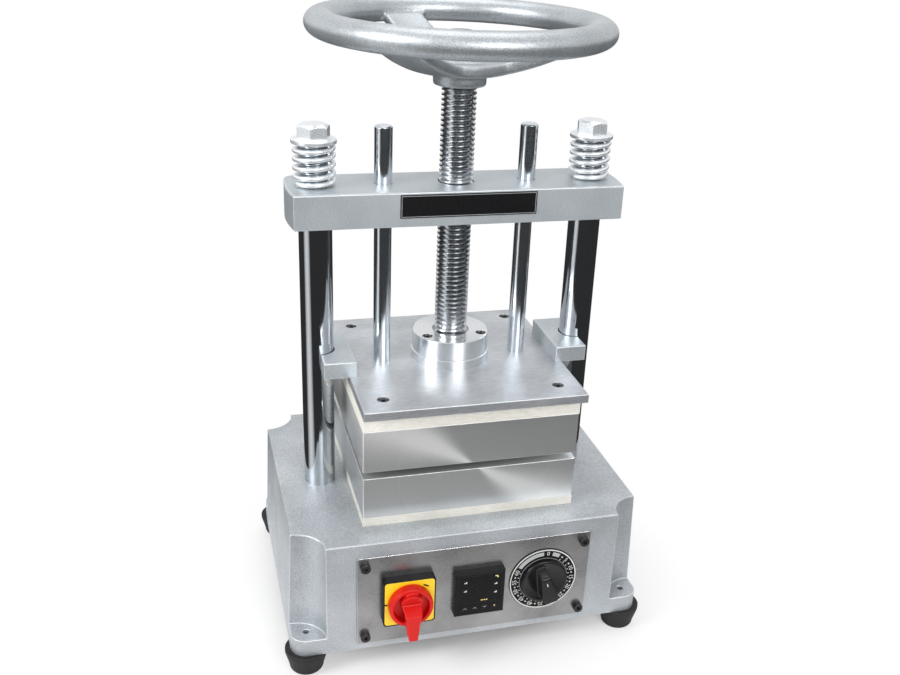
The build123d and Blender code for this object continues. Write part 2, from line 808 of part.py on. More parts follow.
def make_column_nut(x):
    high = deck_under_z - column_boss_depth
    low = high - washer_thickness - column_nut_height
    washer = ring(column_nut_washer_r, column_foot_r + fit_gap, high - washer_thickness, high, x, press_y)
    nut = Pos(x, press_y, low) * hexagon(column_nut_flats, column_nut_height)
    nut -= upright(column_foot_r, low - 1, high, x, press_y)
    return group([washer, nut])


def make_column_bolt(x):
    """A hexagon bolt whose head is cut by a cone at its upper corners."""
    head = hexagon(bolt_flats, bolt_head_height)
    crown_low = bolt_head_height - bolt_crown_height
    crown = Cone(bolt_flats / sqrt(3) + 0.1, bolt_crown_r, bolt_crown_height,
                 align=(Align.CENTER, Align.CENTER, Align.MIN))
    head &= upright(bolt_flats, -1, crown_low + 0.01) + Pos(0, 0, crown_low) * crown
    bolt = head + upright(bolt_shank_r - fit_gap, 3 - washer_thickness - bolt_length, 0.01)
    return Pos(x, press_y, washer_top_z) * Rot(0, 0, bolt_turn_degrees) * bolt


def smooth_area(u):
    """Area under the smooth step from 0 up to u."""
    u = min(max(u, 0.0), 1.0)
    return u ** 3 - u ** 4 / 2


def spring_rise(turn, mid_pitch):
    """Height of the wire's middle after a number of turns, with closed ends."""
    opened = 0.0
    second_start = spring_turns - spring_closed_turns - spring_blend_turns
    for start, sign in ((spring_closed_turns, 1), (second_start, -1)):
        step = (turn - start) / spring_blend_turns
        opened += sign * spring_blend_turns * smooth_area(step)
        opened += sign * max(turn - start - spring_blend_turns, 0.0)
    return spring_end_pitch * turn + (mid_pitch - spring_end_pitch) * opened


def spring_pitch(turn, mid_pitch):
    small = 1e-4
    return (spring_rise(turn + small, mid_pitch) - spring_rise(turn - small, mid_pitch)) / (2 * small)


def spring_path(x, low, height):
    """The wire's middle line: two arcs for each quarter turn."""
    closed_rise = spring_rise(spring_turns, spring_end_pitch)
    open_turns = spring_rise(spring_turns, spring_end_pitch + 1) - closed_rise
    mid_pitch = spring_end_pitch + (height - closed_rise) / open_turns
    points = []
    tangents = []
    quarters = round(spring_turns * 4)
    for number in range(quarters + 1):
        turn = number / 4
        angle = radians(spring_start_degrees) + 2 * pi * turn
        points.append(Vector(x + spring_mean_r * cos(angle), press_y + spring_mean_r * sin(angle),
                             low + spring_rise(turn, mid_pitch)))
        slope = spring_pitch(turn, mid_pitch) / (2 * pi)
        tangents.append(Vector(-spring_mean_r * sin(angle), spring_mean_r * cos(angle), slope).normalized())
    edges = []
    for number in range(quarters):
        start, end = points[number], points[number + 1]
        leave, arrive = tangents[number], tangents[number + 1]
        span = end - start
        a = 2 * (1 - leave.dot(arrive))
        b = 2 * span.dot(leave + arrive)
        c = -span.dot(span)
        reach = (-b + sqrt(b * b - 4 * a * c)) / (2 * a)
        first = start + leave * reach
        second = end - arrive * reach
        joint = (first + second) * 0.5
        middle_tangent = (second - first).normalized()
        edges.append(TangentArc(start, joint, tangent=leave))
        edges.append(TangentArc(joint, end, tangent=middle_tangent))
    print("spring: middle pitch %.2f mm, least gap between turns %.2f mm"
          % (mid_pitch, least_turn_gap(mid_pitch)))
    return Wire(edges), points[0], tangents[0]


def least_turn_gap(mid_pitch):
    """The least room between the wire and itself a turn on, measured on points."""
    steps = 40
    samples = []
    for number in range(round(spring_turns * steps) + 1):
        angle = 2 * pi * number / steps
        samples.append((spring_mean_r * cos(angle), spring_mean_r * sin(angle),
                        spring_rise(number / steps, mid_pitch)))
    least = 1e9
    for first in range(len(samples)):
        for second in range(first + steps // 2, len(samples)):
            far = sqrt(sum((samples[first][k] - samples[second][k]) ** 2 for k in range(3)))
            least = min(least, far)
    return least - 2 * spring_wire_r


def make_spring(x):
    low = beam_top_z + spring_seat_gap + spring_wire_r
    height = spring_height - 2 * spring_seat_gap - 2 * spring_wire_r
    path, start, tangent = spring_path(x, low, height)
    section = Plane(origin=start, z_dir=tangent) * Circle(spring_wire_r)
    return sweep(section, path)


nodes["columns"] = group([make_column(side * column_half_span) for side in (-1, 1)])
nodes["spring_left"] = make_spring(-column_half_span)
nodes["spring_right"] = make_spring(column_half_span)
nodes["column_nuts"] = group([make_column_nut(side * column_half_span) for side in (-1, 1)])
nodes["column_bolts"] = group([make_column_bolt(side * column_half_span) for side in (-1, 1)])
nodes["spring_washers"] = group([ring(washer_r, bolt_shank_r + fit_gap, washer_bottom_z, washer_top_z,
                                      side * column_half_span, press_y) for side in (-1, 1)])


# ---------------------------------------------------------------- crossbeam
def make_crossbeam():
    half = beam_length / 2
    front = beam_front_y
    back = beam_back_y
    lines = [Line((-half, front), (half, front)),
             ThreePointArc((half, front), (half + beam_bulge, press_y), (half, back)),
             Line((half, back), (-half, back)),
             ThreePointArc((-half, back), (-half - beam_bulge, press_y), (-half, front))]
    beam = Pos(0, 0, beam_bottom_z) * extrude(make_face(Wire(lines)), beam_height)
    rear = beam.edges().filter_by(Axis.Z).sort_by(Axis.Y)[-2:]
    beam = fillet(rear, beam_corner_r)
    rims = beam.faces().sort_by(Axis.Z)[-1].edges() + beam.faces().sort_by(Axis.Z)[0].edges()
    beam = chamfer(rims, beam_edge)
    for side in (-1, 1):
        x = side * column_half_span
        beam -= upright(bush_outer_r, beam_bottom_z - 1, beam_top_z + 1, x, press_y)
        x = side * rod_half_span
        beam -= upright(rod_bush_outer_r, beam_bottom_z - 1, beam_top_z - bush_cover, x, press_y)
        beam -= upright(rod_r + 0.5, beam_bottom_z, beam_top_z + 1, x, press_y)
    beam -= upright(nut_r, beam_bottom_z - 1, beam_top_z - bush_cover, 0, press_y)
    beam -= upright(thread_r + 1, beam_bottom_z, beam_top_z + 1, 0, press_y)
    return beam - lying(grub_r + fit_gap, press_y + nut_r - grub_bite, back + 1, 0, grub_z)


def make_nut():
    nut = ring(nut_r, thread_r + curve_gap, beam_bottom_z, beam_top_z - bush_cover, 0, press_y)
    return nut - lying(grub_r + fit_gap, press_y + nut_r - grub_bite, press_y + nut_r + 1, 0, grub_z)


def make_label():
    front = beam_front_y - label_thickness
    return rounded_plate(label_width, label_height, 0.6, front, beam_front_y,
                         label_x, beam_bottom_z + label_rise)


nodes["crossbeam"] = make_crossbeam()
nodes["spindle_nut"] = make_nut()
nodes["nut_grub_screw"] = lying(grub_r, press_y + nut_r - grub_bite, beam_back_y - 2, 0, grub_z)
nodes["column_bushes"] = group(
    [ring(bush_outer_r, column_spigot_r + running_gap, beam_bottom_z, beam_top_z,
          side * column_half_span, press_y) for side in (-1, 1)])
nodes["rod_bushes"] = group(
    [ring(rod_bush_outer_r, rod_r + running_gap, beam_bottom_z, beam_top_z - bush_cover,
          side * rod_half_span, press_y) for side in (-1, 1)])
nodes["beam_label"] = make_label()


# ---------------------------------------------------------------- platens
def heater_places():
    middle = (heater_count - 1) / 2
    return [(number - middle) * heater_pitch for number in range(heater_count)]


def make_platen(low, screw_from_top):
    high = low + platen_height
    platen = block(-platen_width / 2, platen_width / 2, platen_front_y, platen_back_y, low, high)
    platen = chamfer(platen.edges().filter_by(Axis.Z), 1.0)
    middle = (low + high) / 2
    for x in heater_places():
        platen -= lying(heater_r, platen_back_y - heater_length, platen_back_y + 1, x, middle)
    platen -= lying(probe_r, platen_back_y - probe_depth, platen_back_y + 1, heater_pitch / 2, middle)
    for x, y in four(platen_screw_x, platen_screw_y, press_y):
        if screw_from_top:
            platen -= upright(platen_screw_r, high - platen_tap_depth, high + 1, x, y)
        else:
            platen -= upright(platen_screw_r, low - 1, low + platen_tap_depth, x, y)
    return platen


def make_heaters(low):
    middle = low + platen_height / 2
    stand_y = platen_back_y + heater_stand
    bars = []
    for x in heater_places():
        bar = lying(heater_r - fit_gap, platen_back_y - heater_length, stand_y, x, middle)
        bars.append(bar + lying(heater_tail_r, stand_y, stand_y + heater_tail, x, middle))
    return group(bars)


def make_probe(low):
    x = heater_pitch / 2
    middle = low + platen_height / 2
    stem = lying(probe_r - fit_gap, platen_back_y - probe_depth, platen_back_y + 0.01, x, middle)
    head = hexagon(probe_head_flats, probe_head_height)
    return stem + Pos(x, platen_back_y, middle) * Rot(-90, 0, 0) * head


def make_board(low, thickness):
    high = low + thickness
    board = block(-platen_width / 2, platen_width / 2, platen_front_y, platen_back_y, low, high)
    for x, y in four(platen_screw_x, platen_screw_y, press_y):
        board -= upright(platen_screw_r + fit_gap, low - 1, high + 1, x, y)
    return board


def make_upper_board():
    board = make_board(upper_platen_top_z, upper_board)
    nut_pocket_low = plate_bottom_z - rod_nut_height - rod_tail - 3
    for side in (-1, 1):
        board -= upright(rod_nut_pocket_r, nut_pocket_low, plate_bottom_z + 1,
                         side * rod_half_span, press_y)
        for x, y in fork_screw_places(side):
            board -= upright(fork_screw_head_r + 1, plate_bottom_z - fork_screw_head - 1,
                             plate_bottom_z + 1, x, y)
    return board


def make_top_plate():
    plate = block(-plate_width / 2, plate_width / 2, platen_front_y - plate_overhang_front,
                  platen_back_y + plate_overhang_back, plate_bottom_z, plate_top_z)
    plate = chamfer(plate.faces().sort_by(Axis.Z)[-1].edges(), 0.6)
    low = plate_bottom_z - 1
    high = plate_top_z + 1
    for x, y in four(platen_screw_x, platen_screw_y, press_y):
        plate -= upright(platen_screw_r + fit_gap, low, high, x, y)
        plate -= upright(plate_screw_recess_r, plate_top_z - plate_screw_recess, high, x, y)
    for side in (-1, 1):
        plate -= upright(rod_tail_r + fit_gap, low, high, side * rod_half_span, press_y)
        for x, y in fork_screw_places(side):
            plate -= upright(fork_screw_r + fit_gap, low, high, x, y)
    for x, y in flange_screw_places():
        plate -= upright(flange_screw_r + fit_gap, plate_top_z - 5, high, x, y)
    return plate


def fork_screw_places(side):
    return [(side * fork_screw_x, press_y - fork_screw_y), (side * fork_screw_x, press_y + fork_screw_y)]


def flange_screw_places():
    places = []
    for number in range(flange_screw_count):
        angle = radians(flange_screw_start + number * 360 / flange_screw_count)
        places.append((flange_screw_circle_r * cos(angle), press_y + flange_screw_circle_r * sin(angle)))
    return places


nodes["lower_board"] = make_board(base_top_z, lower_board)
nodes["lower_platen"] = make_platen(lower_platen_z, False)
nodes["lower_heaters"] = make_heaters(lower_platen_z)
nodes["lower_probe"] = make_probe(lower_platen_z)
lower_screw = socket_screw(platen_screw_r - fit_gap, platen_screw_head_r, 6,
                           base_deck + lower_board + platen_screw_bite, 5)
nodes["lower_platen_screws"] = group(
    [Pos(x, y, deck_under_z) * Rot(180, 0, 0) * lower_screw
     for x, y in four(platen_screw_x, platen_screw_y, press_y)])

nodes["upper_board"] = make_upper_board()
nodes["upper_platen"] = make_platen(upper_face_z, True)
nodes["upper_heaters"] = make_heaters(upper_face_z)
nodes["upper_probe"] = make_probe(upper_face_z)
nodes["top_plate"] = make_top_plate()
plate_screw = socket_screw(platen_screw_r - fit_gap, platen_screw_head_r, 4,
                           upper_board + plate_thickness - plate_screw_recess + platen_screw_bite, 4)
nodes["top_plate_screws"] = group(
    [Pos(x, y, plate_top_z - plate_screw_recess) * plate_screw
     for x, y in four(platen_screw_x, platen_screw_y, press_y)])


# ---------------------------------------------------------------- forks and guide rods
def make_fork(side):
    low_x = min(side * fork_inner_x, side * fork_outer_x)
    high_x = max(side * fork_inner_x, side * fork_outer_x)
    fork = block(low_x, high_x, press_y - fork_depth / 2, press_y + fork_depth / 2,
                 plate_top_z, plate_top_z + fork_height)
    fork = chamfer(fork.faces().sort_by(Axis.Z)[-1].edges(), 0.8)
    fork -= upright(column_r + fork_gap, plate_top_z - 1, plate_top_z + fork_height + 1,
                    side * column_half_span, press_y)
    for x, y in fork_screw_places(side):
        fork -= upright(fork_screw_r, plate_top_z - 1, plate_top_z + fork_screw_bite + 2, x, y)
    return fork


def make_guide_rod(x):
    rod = upright(rod_r, plate_top_z, rod_top_z, x, press_y)
    rod = chamfer(rod.edges().sort_by(Axis.Z)[-1], 1.0)
    tail_low = plate_bottom_z - rod_nut_height - rod_tail
    return rod + upright(rod_tail_r, tail_low, plate_top_z + 0.01, x, press_y)


def make_rod_nut(x):
    low = plate_bottom_z - rod_nut_height
    nut = Pos(x, press_y, low) * hexagon(rod_nut_flats, rod_nut_height)
    return nut - upright(rod_tail_r, low - 1, plate_bottom_z + 1, x, press_y)


for side, name in ((-1, "left"), (1, "right")):
    nodes["fork_" + name] = make_fork(side)
nodes["guide_rods"] = group([make_guide_rod(side * rod_half_span) for side in (-1, 1)])
nodes["guide_rod_nuts"] = group([make_rod_nut(side * rod_half_span) for side in (-1, 1)])
fork_screw = socket_screw(fork_screw_r - fit_gap / 2, fork_screw_head_r, fork_screw_head,
                          plate_thickness + fork_screw_bite, 2.5)
nodes["fork_screws"] = group(
    [Pos(x, y, plate_bottom_z) * Rot(180, 0, 0) * fork_screw
     for side in (-1, 1) for x, y in fork_screw_places(side)])


# ---------------------------------------------------------------- thrust flanges and bearing
race_low_z = plate_top_z + 3.0
ball_centre_z = race_low_z + race_thickness + ball_r - 1.0
race_high_z = ball_centre_z + ball_r - 1.0
collar_low_z = race_high_z + race_thickness
collar_high_z = collar_low_z + 6.0
pocket_top_z = collar_high_z + 0.2


def make_flange_lower():
    flange = upright(flange_lower_r, plate_top_z, flange_split_z, 0, press_y)
    flange = chamfer(flange.edges().sort_by(Axis.Z)[-1], 0.6)
    flange -= upright(pocket_r, race_low_z, flange_split_z + 1, 0, press_y)
    for x, y in flange_screw_places():
        flange -= upright(flange_screw_r + fit_gap, plate_top_z - 1, flange_split_z + 1, x, y)
    return flange


def make_flange_upper():
    flange = upright(flange_upper_r, flange_split_z, flange_top_z, 0, press_y)
    flange = chamfer(flange.edges().sort_by(Axis.Z)[-1], 0.8)
    flange -= upright(pocket_r, flange_split_z - 1, pocket_top_z, 0, press_y)
    flange -= upright(journal_r + running_gap, flange_split_z, flange_top_z + 1, 0, press_y)
    flange -= upright(thread_r + 2.3, flange_top_z - flange_mouth, flange_top_z + 1, 0, press_y)
    for x, y in flange_screw_places():
        flange -= upright(flange_screw_r + fit_gap, flange_split_z - 1, flange_top_z + 1, x, y)
        flange -= upright(flange_screw_head_r + curve_gap, flange_top_z - flange_screw_recess,
                          flange_top_z + 1, x, y)
    return flange


def make_race(low):
    race = ring(race_outer_r, ball_circle_r - 6, low, low + race_thickness, 0, press_y)
    groove = Pos(0, press_y, ball_centre_z) * Torus(ball_circle_r, ball_r + curve_gap / 3)
    return race - groove


def make_balls():
    balls = []
    for number in range(ball_count):
        angle = 2 * pi * number / ball_count
        balls.append(Pos(ball_circle_r * cos(angle), press_y + ball_circle_r * sin(angle), ball_centre_z)
                     * Sphere(ball_r))
    return balls


nodes["flange_lower"] = make_flange_lower()
nodes["flange_upper"] = make_flange_upper()
flange_screw_seat_z = flange_top_z - flange_screw_recess
flange_screw = socket_screw(flange_screw_r, flange_screw_head_r, 4.6,
                            flange_screw_seat_z - plate_top_z + flange_screw_bite, 4)
nodes["flange_screws"] = group(
    [Pos(x, y, flange_screw_seat_z) * flange_screw for x, y in flange_screw_places()])
nodes["thrust_bearing"] = group([make_race(race_low_z), make_race(race_high_z)] + make_balls())


# ---------------------------------------------------------------- spindle and handwheel
def make_spindle():
    """A turned bar with its vee thread drawn as rings one pitch apart."""
    thread_low = flange_top_z - thread_start
    turns = int((hub_bottom_z - thread_low) / thread_pitch)
    root_r = thread_r - thread_depth
    points = [(0, collar_low_z), (collar_r, collar_low_z), (collar_r, collar_high_z),
              (journal_r, collar_high_z), (journal_r, thread_low - 1.2),
              (root_r, thread_low - 1.0), (root_r, thread_low)]
    for number in range(turns):
        low = thread_low + number * thread_pitch
        points.append((root_r, low + thread_pitch * 0.1))
        points.append((thread_r, low + thread_pitch * 0.42))
        points.append((thread_r, low + thread_pitch * 0.58))
        points.append((root_r, low + thread_pitch * 0.9))
    points += [(root_r, hub_bottom_z), (shank_r, hub_bottom_z),
               (shank_r, shank_top_z), (0, shank_top_z)]
    face = make_face(Plane.XZ * Polyline(*points, close=True))
    return Pos(0, press_y, 0) * revolve(face, Axis.Z)


def make_handwheel():
    """An oval rim, three spokes cut from a bowl, and a hub."""
    rim = revolve(Plane.XZ * (Pos(wheel_r, wheel_centre_z) * Ellipse(rim_radial, rim_vertical)), Axis.Z)
    low = hub_bottom_z + hub_neck
    high = low + dish_thickness
    end_r = wheel_r - rim_radial + bowl_into_rim
    end_low = wheel_centre_z - bowl_below_rim - dish_thickness / 2
    end_high = end_low + dish_thickness
    under = ThreePointArc((dish_r, low + 1), (dish_r + bowl_middle, low + bowl_middle_rise),
                          (end_r, end_low))
    over = ThreePointArc((end_r, end_high), (dish_r + bowl_middle - 4, high + bowl_middle_rise),
                         (dish_r - 4, high + 1))
    profile = Wire([Line((0, low), (dish_r - 4, low)), Line((dish_r - 4, low), (dish_r, low + 1)),
                    under, Line((end_r, end_low), (end_r, end_high)), over,
                    Line((dish_r - 4, high + 1), (0, high + 1)), Line((0, high + 1), (0, low))])
    bowl = revolve(make_face(Plane.XZ * profile), Axis.Z)
    plan = Circle(dish_r)
    for angle in spoke_angles:
        plan += Rot(0, 0, angle) * Pos(wheel_r / 2, 0) * Rectangle(wheel_r, spoke_width)
    inner = plan.vertices().filter_by(lambda v: Vector(v.X, v.Y, 0).length < wheel_r * 0.6)
    plan = fillet(inner, spoke_fillet)
    spokes = bowl & (Pos(0, 0, low - 5) * extrude(plan, rim_rise + 10))
    hub = upright(hub_r, hub_bottom_z, hub_top_z)
    hub = chamfer(hub.edges().group_by(Axis.Z)[0] + hub.edges().group_by(Axis.Z)[-1], 1.0)
    wheel = rim + spokes + hub - upright(shank_r + fit_gap, hub_bottom_z - 1, hub_top_z + 1)
    return Pos(0, press_y, 0) * wheel


def make_wheel_key():
    front = press_y - shank_r - wheel_key_height / 2 + 0.5
    return block(-wheel_key_half, wheel_key_half, front, front + wheel_key_height,
                 hub_bottom_z + wheel_key_inset, hub_top_z - wheel_key_inset)


nodes["spindle"] = make_spindle()
nodes["handwheel"] = make_handwheel()
nodes["wheel_key"] = make_wheel_key()
nodes["spindle"] -= nodes["wheel_key"]
nodes["handwheel"] -= nodes["wheel_key"]
wheel_nut = Pos(0, press_y, hub_top_z + washer_thickness) * hexagon(shank_nut_flats, shank_nut_height)
wheel_nut -= upright(shank_r, hub_top_z, shank_top_z + 1, 0, press_y)
wheel_washer = ring(wheel_washer_r, shank_r + fit_gap, hub_top_z, hub_top_z + washer_thickness,
                    0, press_y)
nodes["wheel_nut_and_washer"] = group([wheel_washer, wheel_nut])

# ---------------------------------------------------------------- files
os.makedirs("parts", exist_ok=True)
for node_name, node_shape in nodes.items():
    export_step(node_shape, "parts/" + node_name + ".step")
print(len(nodes), "nodes written")
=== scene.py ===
# %% [markdown]
# # A bench press for rubber moulds
# The press has a cast silver base with a control panel, two chrome columns with a sprung
# crossbeam, and a threaded spindle that a handwheel turns. The spindle closes two heated
# platens on a mould. The measured construction is loaded first. This lesson then gives each
# surface its finish, and models the pieces whose looks need more than their plain shape.

# %% Load the press and note its box
import math
import bpy
from mathutils import Matrix, Vector


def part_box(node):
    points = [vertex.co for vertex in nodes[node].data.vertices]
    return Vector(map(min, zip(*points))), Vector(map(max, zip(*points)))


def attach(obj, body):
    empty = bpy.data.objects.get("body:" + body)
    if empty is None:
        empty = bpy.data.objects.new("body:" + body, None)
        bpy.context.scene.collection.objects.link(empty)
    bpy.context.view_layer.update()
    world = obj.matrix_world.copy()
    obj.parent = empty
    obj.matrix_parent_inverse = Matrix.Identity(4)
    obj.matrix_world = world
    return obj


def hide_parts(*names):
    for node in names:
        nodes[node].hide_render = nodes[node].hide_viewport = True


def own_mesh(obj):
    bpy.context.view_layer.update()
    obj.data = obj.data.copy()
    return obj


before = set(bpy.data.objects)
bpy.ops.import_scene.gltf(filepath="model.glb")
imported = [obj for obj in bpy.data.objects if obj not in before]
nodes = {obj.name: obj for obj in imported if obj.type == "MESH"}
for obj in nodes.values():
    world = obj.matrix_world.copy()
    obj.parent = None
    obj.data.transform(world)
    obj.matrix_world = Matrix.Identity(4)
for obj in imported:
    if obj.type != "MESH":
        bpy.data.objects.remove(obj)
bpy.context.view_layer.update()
MM = 0.001

# %% [markdown]
# ## The camera
# The photograph was taken from the front left, a little above the crossbeam, with the camera
# turned slightly on its axis. The camera's place and angles come from matching the edges and
# holes of the press to the picture. A view matrix built from its three directions is exact,
# where aiming with a constraint would lose the small roll.

# %% Place the camera
CAMERA_PLACE = Vector((-247.0, -915.3, 686.6)) * MM
CAMERA_YAW = math.radians(16.78)
CAMERA_PITCH = math.radians(24.58)
CAMERA_ROLL = math.radians(2.82)
FOCAL_PIXELS = 1057.9
PICTURE_WIDTH = 900
PICTURE_HEIGHT = 675
AXIS_PIXEL = (475.1, 361.6)

forward = Vector((math.sin(CAMERA_YAW) * math.cos(CAMERA_PITCH),
                  math.cos(CAMERA_YAW) * math.cos(CAMERA_PITCH), -math.sin(CAMERA_PITCH)))
level_right = forward.cross(Vector((0, 0, 1))).normalized()
level_up = level_right.cross(forward)
right = level_right * math.cos(CAMERA_ROLL) + level_up * math.sin(CAMERA_ROLL)
up = level_up * math.cos(CAMERA_ROLL) - level_right * math.sin(CAMERA_ROLL)
facing = Matrix((right, up, -forward)).transposed().to_4x4()

bpy.ops.object.camera_add()
camera = bpy.context.object
camera.name = "camera"
camera.matrix_world = Matrix.Translation(CAMERA_PLACE) @ facing
camera.data.sensor_width = 36.0
camera.data.lens = FOCAL_PIXELS / PICTURE_WIDTH * camera.data.sensor_width
camera.data.shift_x = (PICTURE_WIDTH / 2 - AXIS_PIXEL[0]) / PICTURE_WIDTH
camera.data.shift_y = (AXIS_PIXEL[1] - PICTURE_HEIGHT / 2) / PICTURE_WIDTH
camera.data.clip_start = 0.01
camera.data.clip_end = 100.0
bpy.context.scene.camera = camera
print("camera lens %.1f mm" % camera.data.lens)

# %% [markdown]
# ## Placing nodes
# Every finish below is a small network of shader nodes. One helper places a node, sets its
# options, and joins or fills its sockets in a single call, so that each finish reads as a list
# of what feeds what.

# %% Helpers for shader networks
def place(tree, kind, options=None, **inputs):
    """Adds a shader node; an input is a socket to join or a plain value, and _0 is the first."""
    made = tree.nodes.new("ShaderNode" + kind)
    for name, value in (options or {}).items():
        setattr(made, name, value)
    for name, value in inputs.items():
        key = int(name[1:]) if name[0] == "_" else name.replace("_", " ")
        if isinstance(value, bpy.types.NodeSocket):
            tree.links.new(value, made.inputs[key])
        else:
            made.inputs[key].default_value = value
    return made


def math_node(tree, operation, first, second=0.0, clamp=False):
    """Calculates with one or two values."""
    made = place(tree, "Math", {"operation": operation, "use_clamp": clamp}, _0=first, _1=second)
    return made.outputs[0]


def mix_colour(tree, factor, first, second):
    """Blends two colours; a Mix node keeps its colour sockets at 6, 7 and, going out, 2."""
    made = place(tree, "Mix", {"data_type": "RGBA"}, _0=factor, _6=first, _7=second)
    return made.outputs[2]


def spread(tree, value, low, high, out_low=0.0, out_high=1.0):
    """Stretches the range from low to high over another one, and stops at its ends."""
    made = place(tree, "MapRange", {"clamp": True}, Value=value, From_Min=low, From_Max=high,
                 To_Min=out_low, To_Max=out_high)
    return made.outputs[0]


print("shader helpers ready")

# %% Helpers for node groups
def new_group(name, inputs, outputs):
    """A node group with named sockets; returns the group, its inputs and its outputs."""
    group = bpy.data.node_groups.new(name, "ShaderNodeTree")
    for socket_name, kind, default in inputs:
        socket = group.interface.new_socket(socket_name, in_out="INPUT",
                                            socket_type="NodeSocket" + kind)
        socket.default_value = default
    for socket_name, kind in outputs:
        group.interface.new_socket(socket_name, in_out="OUTPUT", socket_type="NodeSocket" + kind)
    start = group.nodes.new("NodeGroupInput").outputs
    end = group.nodes.new("NodeGroupOutput").inputs
    return group, start, end


def use_group(tree, name, **inputs):
    """Places a node group with its own values, and returns its outputs."""
    return place(tree, "Group", {"node_tree": bpy.data.node_groups[name]}, **inputs).outputs


print("group helpers ready")

# %% [markdown]
# ## Edges that catch the light
# A cut or cast edge is never quite sharp. It is broken by a file or worn by hands, and its
# rounding catches the light in a thin bright line. That line is painted into the colour here, as
# wear and a painted highlight. The group compares the surface with a slightly rounded copy of
# itself: where the two differ, there is an edge. The rounded direction also softens the highlight.

# %% Group: worn edges with a painted highlight
group, start, end = new_group("worn_and_lit_edges",
                              [("Radius", "Float", 0.0006), ("Gain", "Float", 6.0)],
                              [("Edge", "Float"), ("Normal", "Vector")])
rounded = place(group, "Bevel", {"samples": 6}, Radius=start["Radius"])
flat = place(group, "NewGeometry")
likeness = place(group, "VectorMath", {"operation": "DOT_PRODUCT"},
                 _0=rounded.outputs["Normal"], _1=flat.outputs["True Normal"])
unlike = math_node(group, "SUBTRACT", 1.0, likeness.outputs["Value"])
# The edge mask: where the colour is painted brighter, as wear and a painted highlight.
group.links.new(math_node(group, "MULTIPLY", unlike, start["Gain"], clamp=True), end["Edge"])
group.links.new(rounded.outputs["Normal"], end["Normal"])
print("group", group.name)

# %% [markdown]
# ## Grain, brushing and turning marks
# Cast paint has a fine even grain in all directions. Brushed metal has the same grain drawn out
# along one axis. Turned or fly-cut metal has it drawn out round a centre. The first two are
# one noise with a stretch on each axis. The last is a noise that only sees the distance from
# the centre. It also puts out a bright and dark fan by the angle round the centre: a painted
# reflection of the light playing on circular marks, which a finish mixes into its colour. Both
# groups also put out a broad noise, which lets a finish mottle slowly from place to place.

# %% Group: grain with a stretch
group, start, end = new_group("grain",
                              [("Size", "Float", 0.001), ("Stretch", "Vector", (1, 1, 1)),
                               ("Detail", "Float", 3.0)],
                              [("Tone", "Float"), ("Broad", "Float")])
spot = place(group, "TexCoord").outputs["Object"]
squeezed = place(group, "VectorMath", {"operation": "DIVIDE"}, _0=spot, _1=start["Stretch"])
grains_per_metre = math_node(group, "DIVIDE", 1.0, start["Size"])
fine = place(group, "TexNoise", None, Vector=squeezed.outputs[0], Scale=grains_per_metre,
             Detail=start["Detail"], Roughness=0.6)
broad = place(group, "TexNoise", None, Vector=spot, Scale=22.0, Detail=4.0)
group.links.new(fine.outputs[0], end["Tone"])
group.links.new(broad.outputs[0], end["Broad"])
print("group", group.name)

# %% Group: marks round a centre, with a painted reflection
group, start, end = new_group("turned",
                              [("Centre", "Vector", (0, 0, 0)), ("Plane", "Vector", (1, 0, 1)),
                               ("Size", "Float", 0.0005), ("Turn", "Float", 0.0),
                               ("Narrow", "Float", 1.0)],
                              [("Tone", "Float"), ("Painted Sweep", "Float"), ("Broad", "Float")])
spot = place(group, "TexCoord").outputs["Object"]
from_centre = place(group, "VectorMath", {"operation": "SUBTRACT"}, _0=spot, _1=start["Centre"])
in_plane = place(group, "VectorMath", {"operation": "MULTIPLY"},
                 _0=from_centre.outputs[0], _1=start["Plane"])
radius = place(group, "VectorMath", {"operation": "LENGTH"}, _0=in_plane.outputs[0]).outputs["Value"]
rings = math_node(group, "DIVIDE", radius, start["Size"])
marks = place(group, "TexNoise", {"noise_dimensions": "1D"}, W=rings, Scale=1.0, Detail=2.0)
parts = place(group, "SeparateXYZ", None, Vector=in_plane.outputs[0])
# A plane leaves out y or z, so the sum of the two is the one that stays.
across = math_node(group, "ADD", parts.outputs[1], parts.outputs[2])
# A bright and dark fan by the angle round the centre: a painted reflection of the light on the marks.
angle = math_node(group, "ARCTAN2", across, parts.outputs[0])
doubled = math_node(group, "MULTIPLY", math_node(group, "ADD", angle, start["Turn"]), 2.0)
fan = spread(group, math_node(group, "COSINE", doubled), -1.0, 1.0)
painted_sweep = math_node(group, "POWER", fan, start["Narrow"])
broad = place(group, "TexNoise", None, Vector=spot, Scale=18.0, Detail=4.0)
group.links.new(marks.outputs[0], end["Tone"])
group.links.new(painted_sweep, end["Painted Sweep"])
group.links.new(broad.outputs[0], end["Broad"])
print("group", group.name)

# %% [markdown]
# ## One recipe for a finish
# A finish is a dark and a light colour mixed by its pattern, a roughness that follows the same
# pattern, a shallow bump, and edges painted brighter than the rest, as wear and a painted
# highlight. The recipe below builds that from a pattern function, so each finish only states its
# own values. A noise rarely leaves its middle, so the part from 0.3 to 0.7 is taken as its whole
# range.

# %% The finish recipe
NOISE_LOW = 0.3
NOISE_HIGH = 0.7


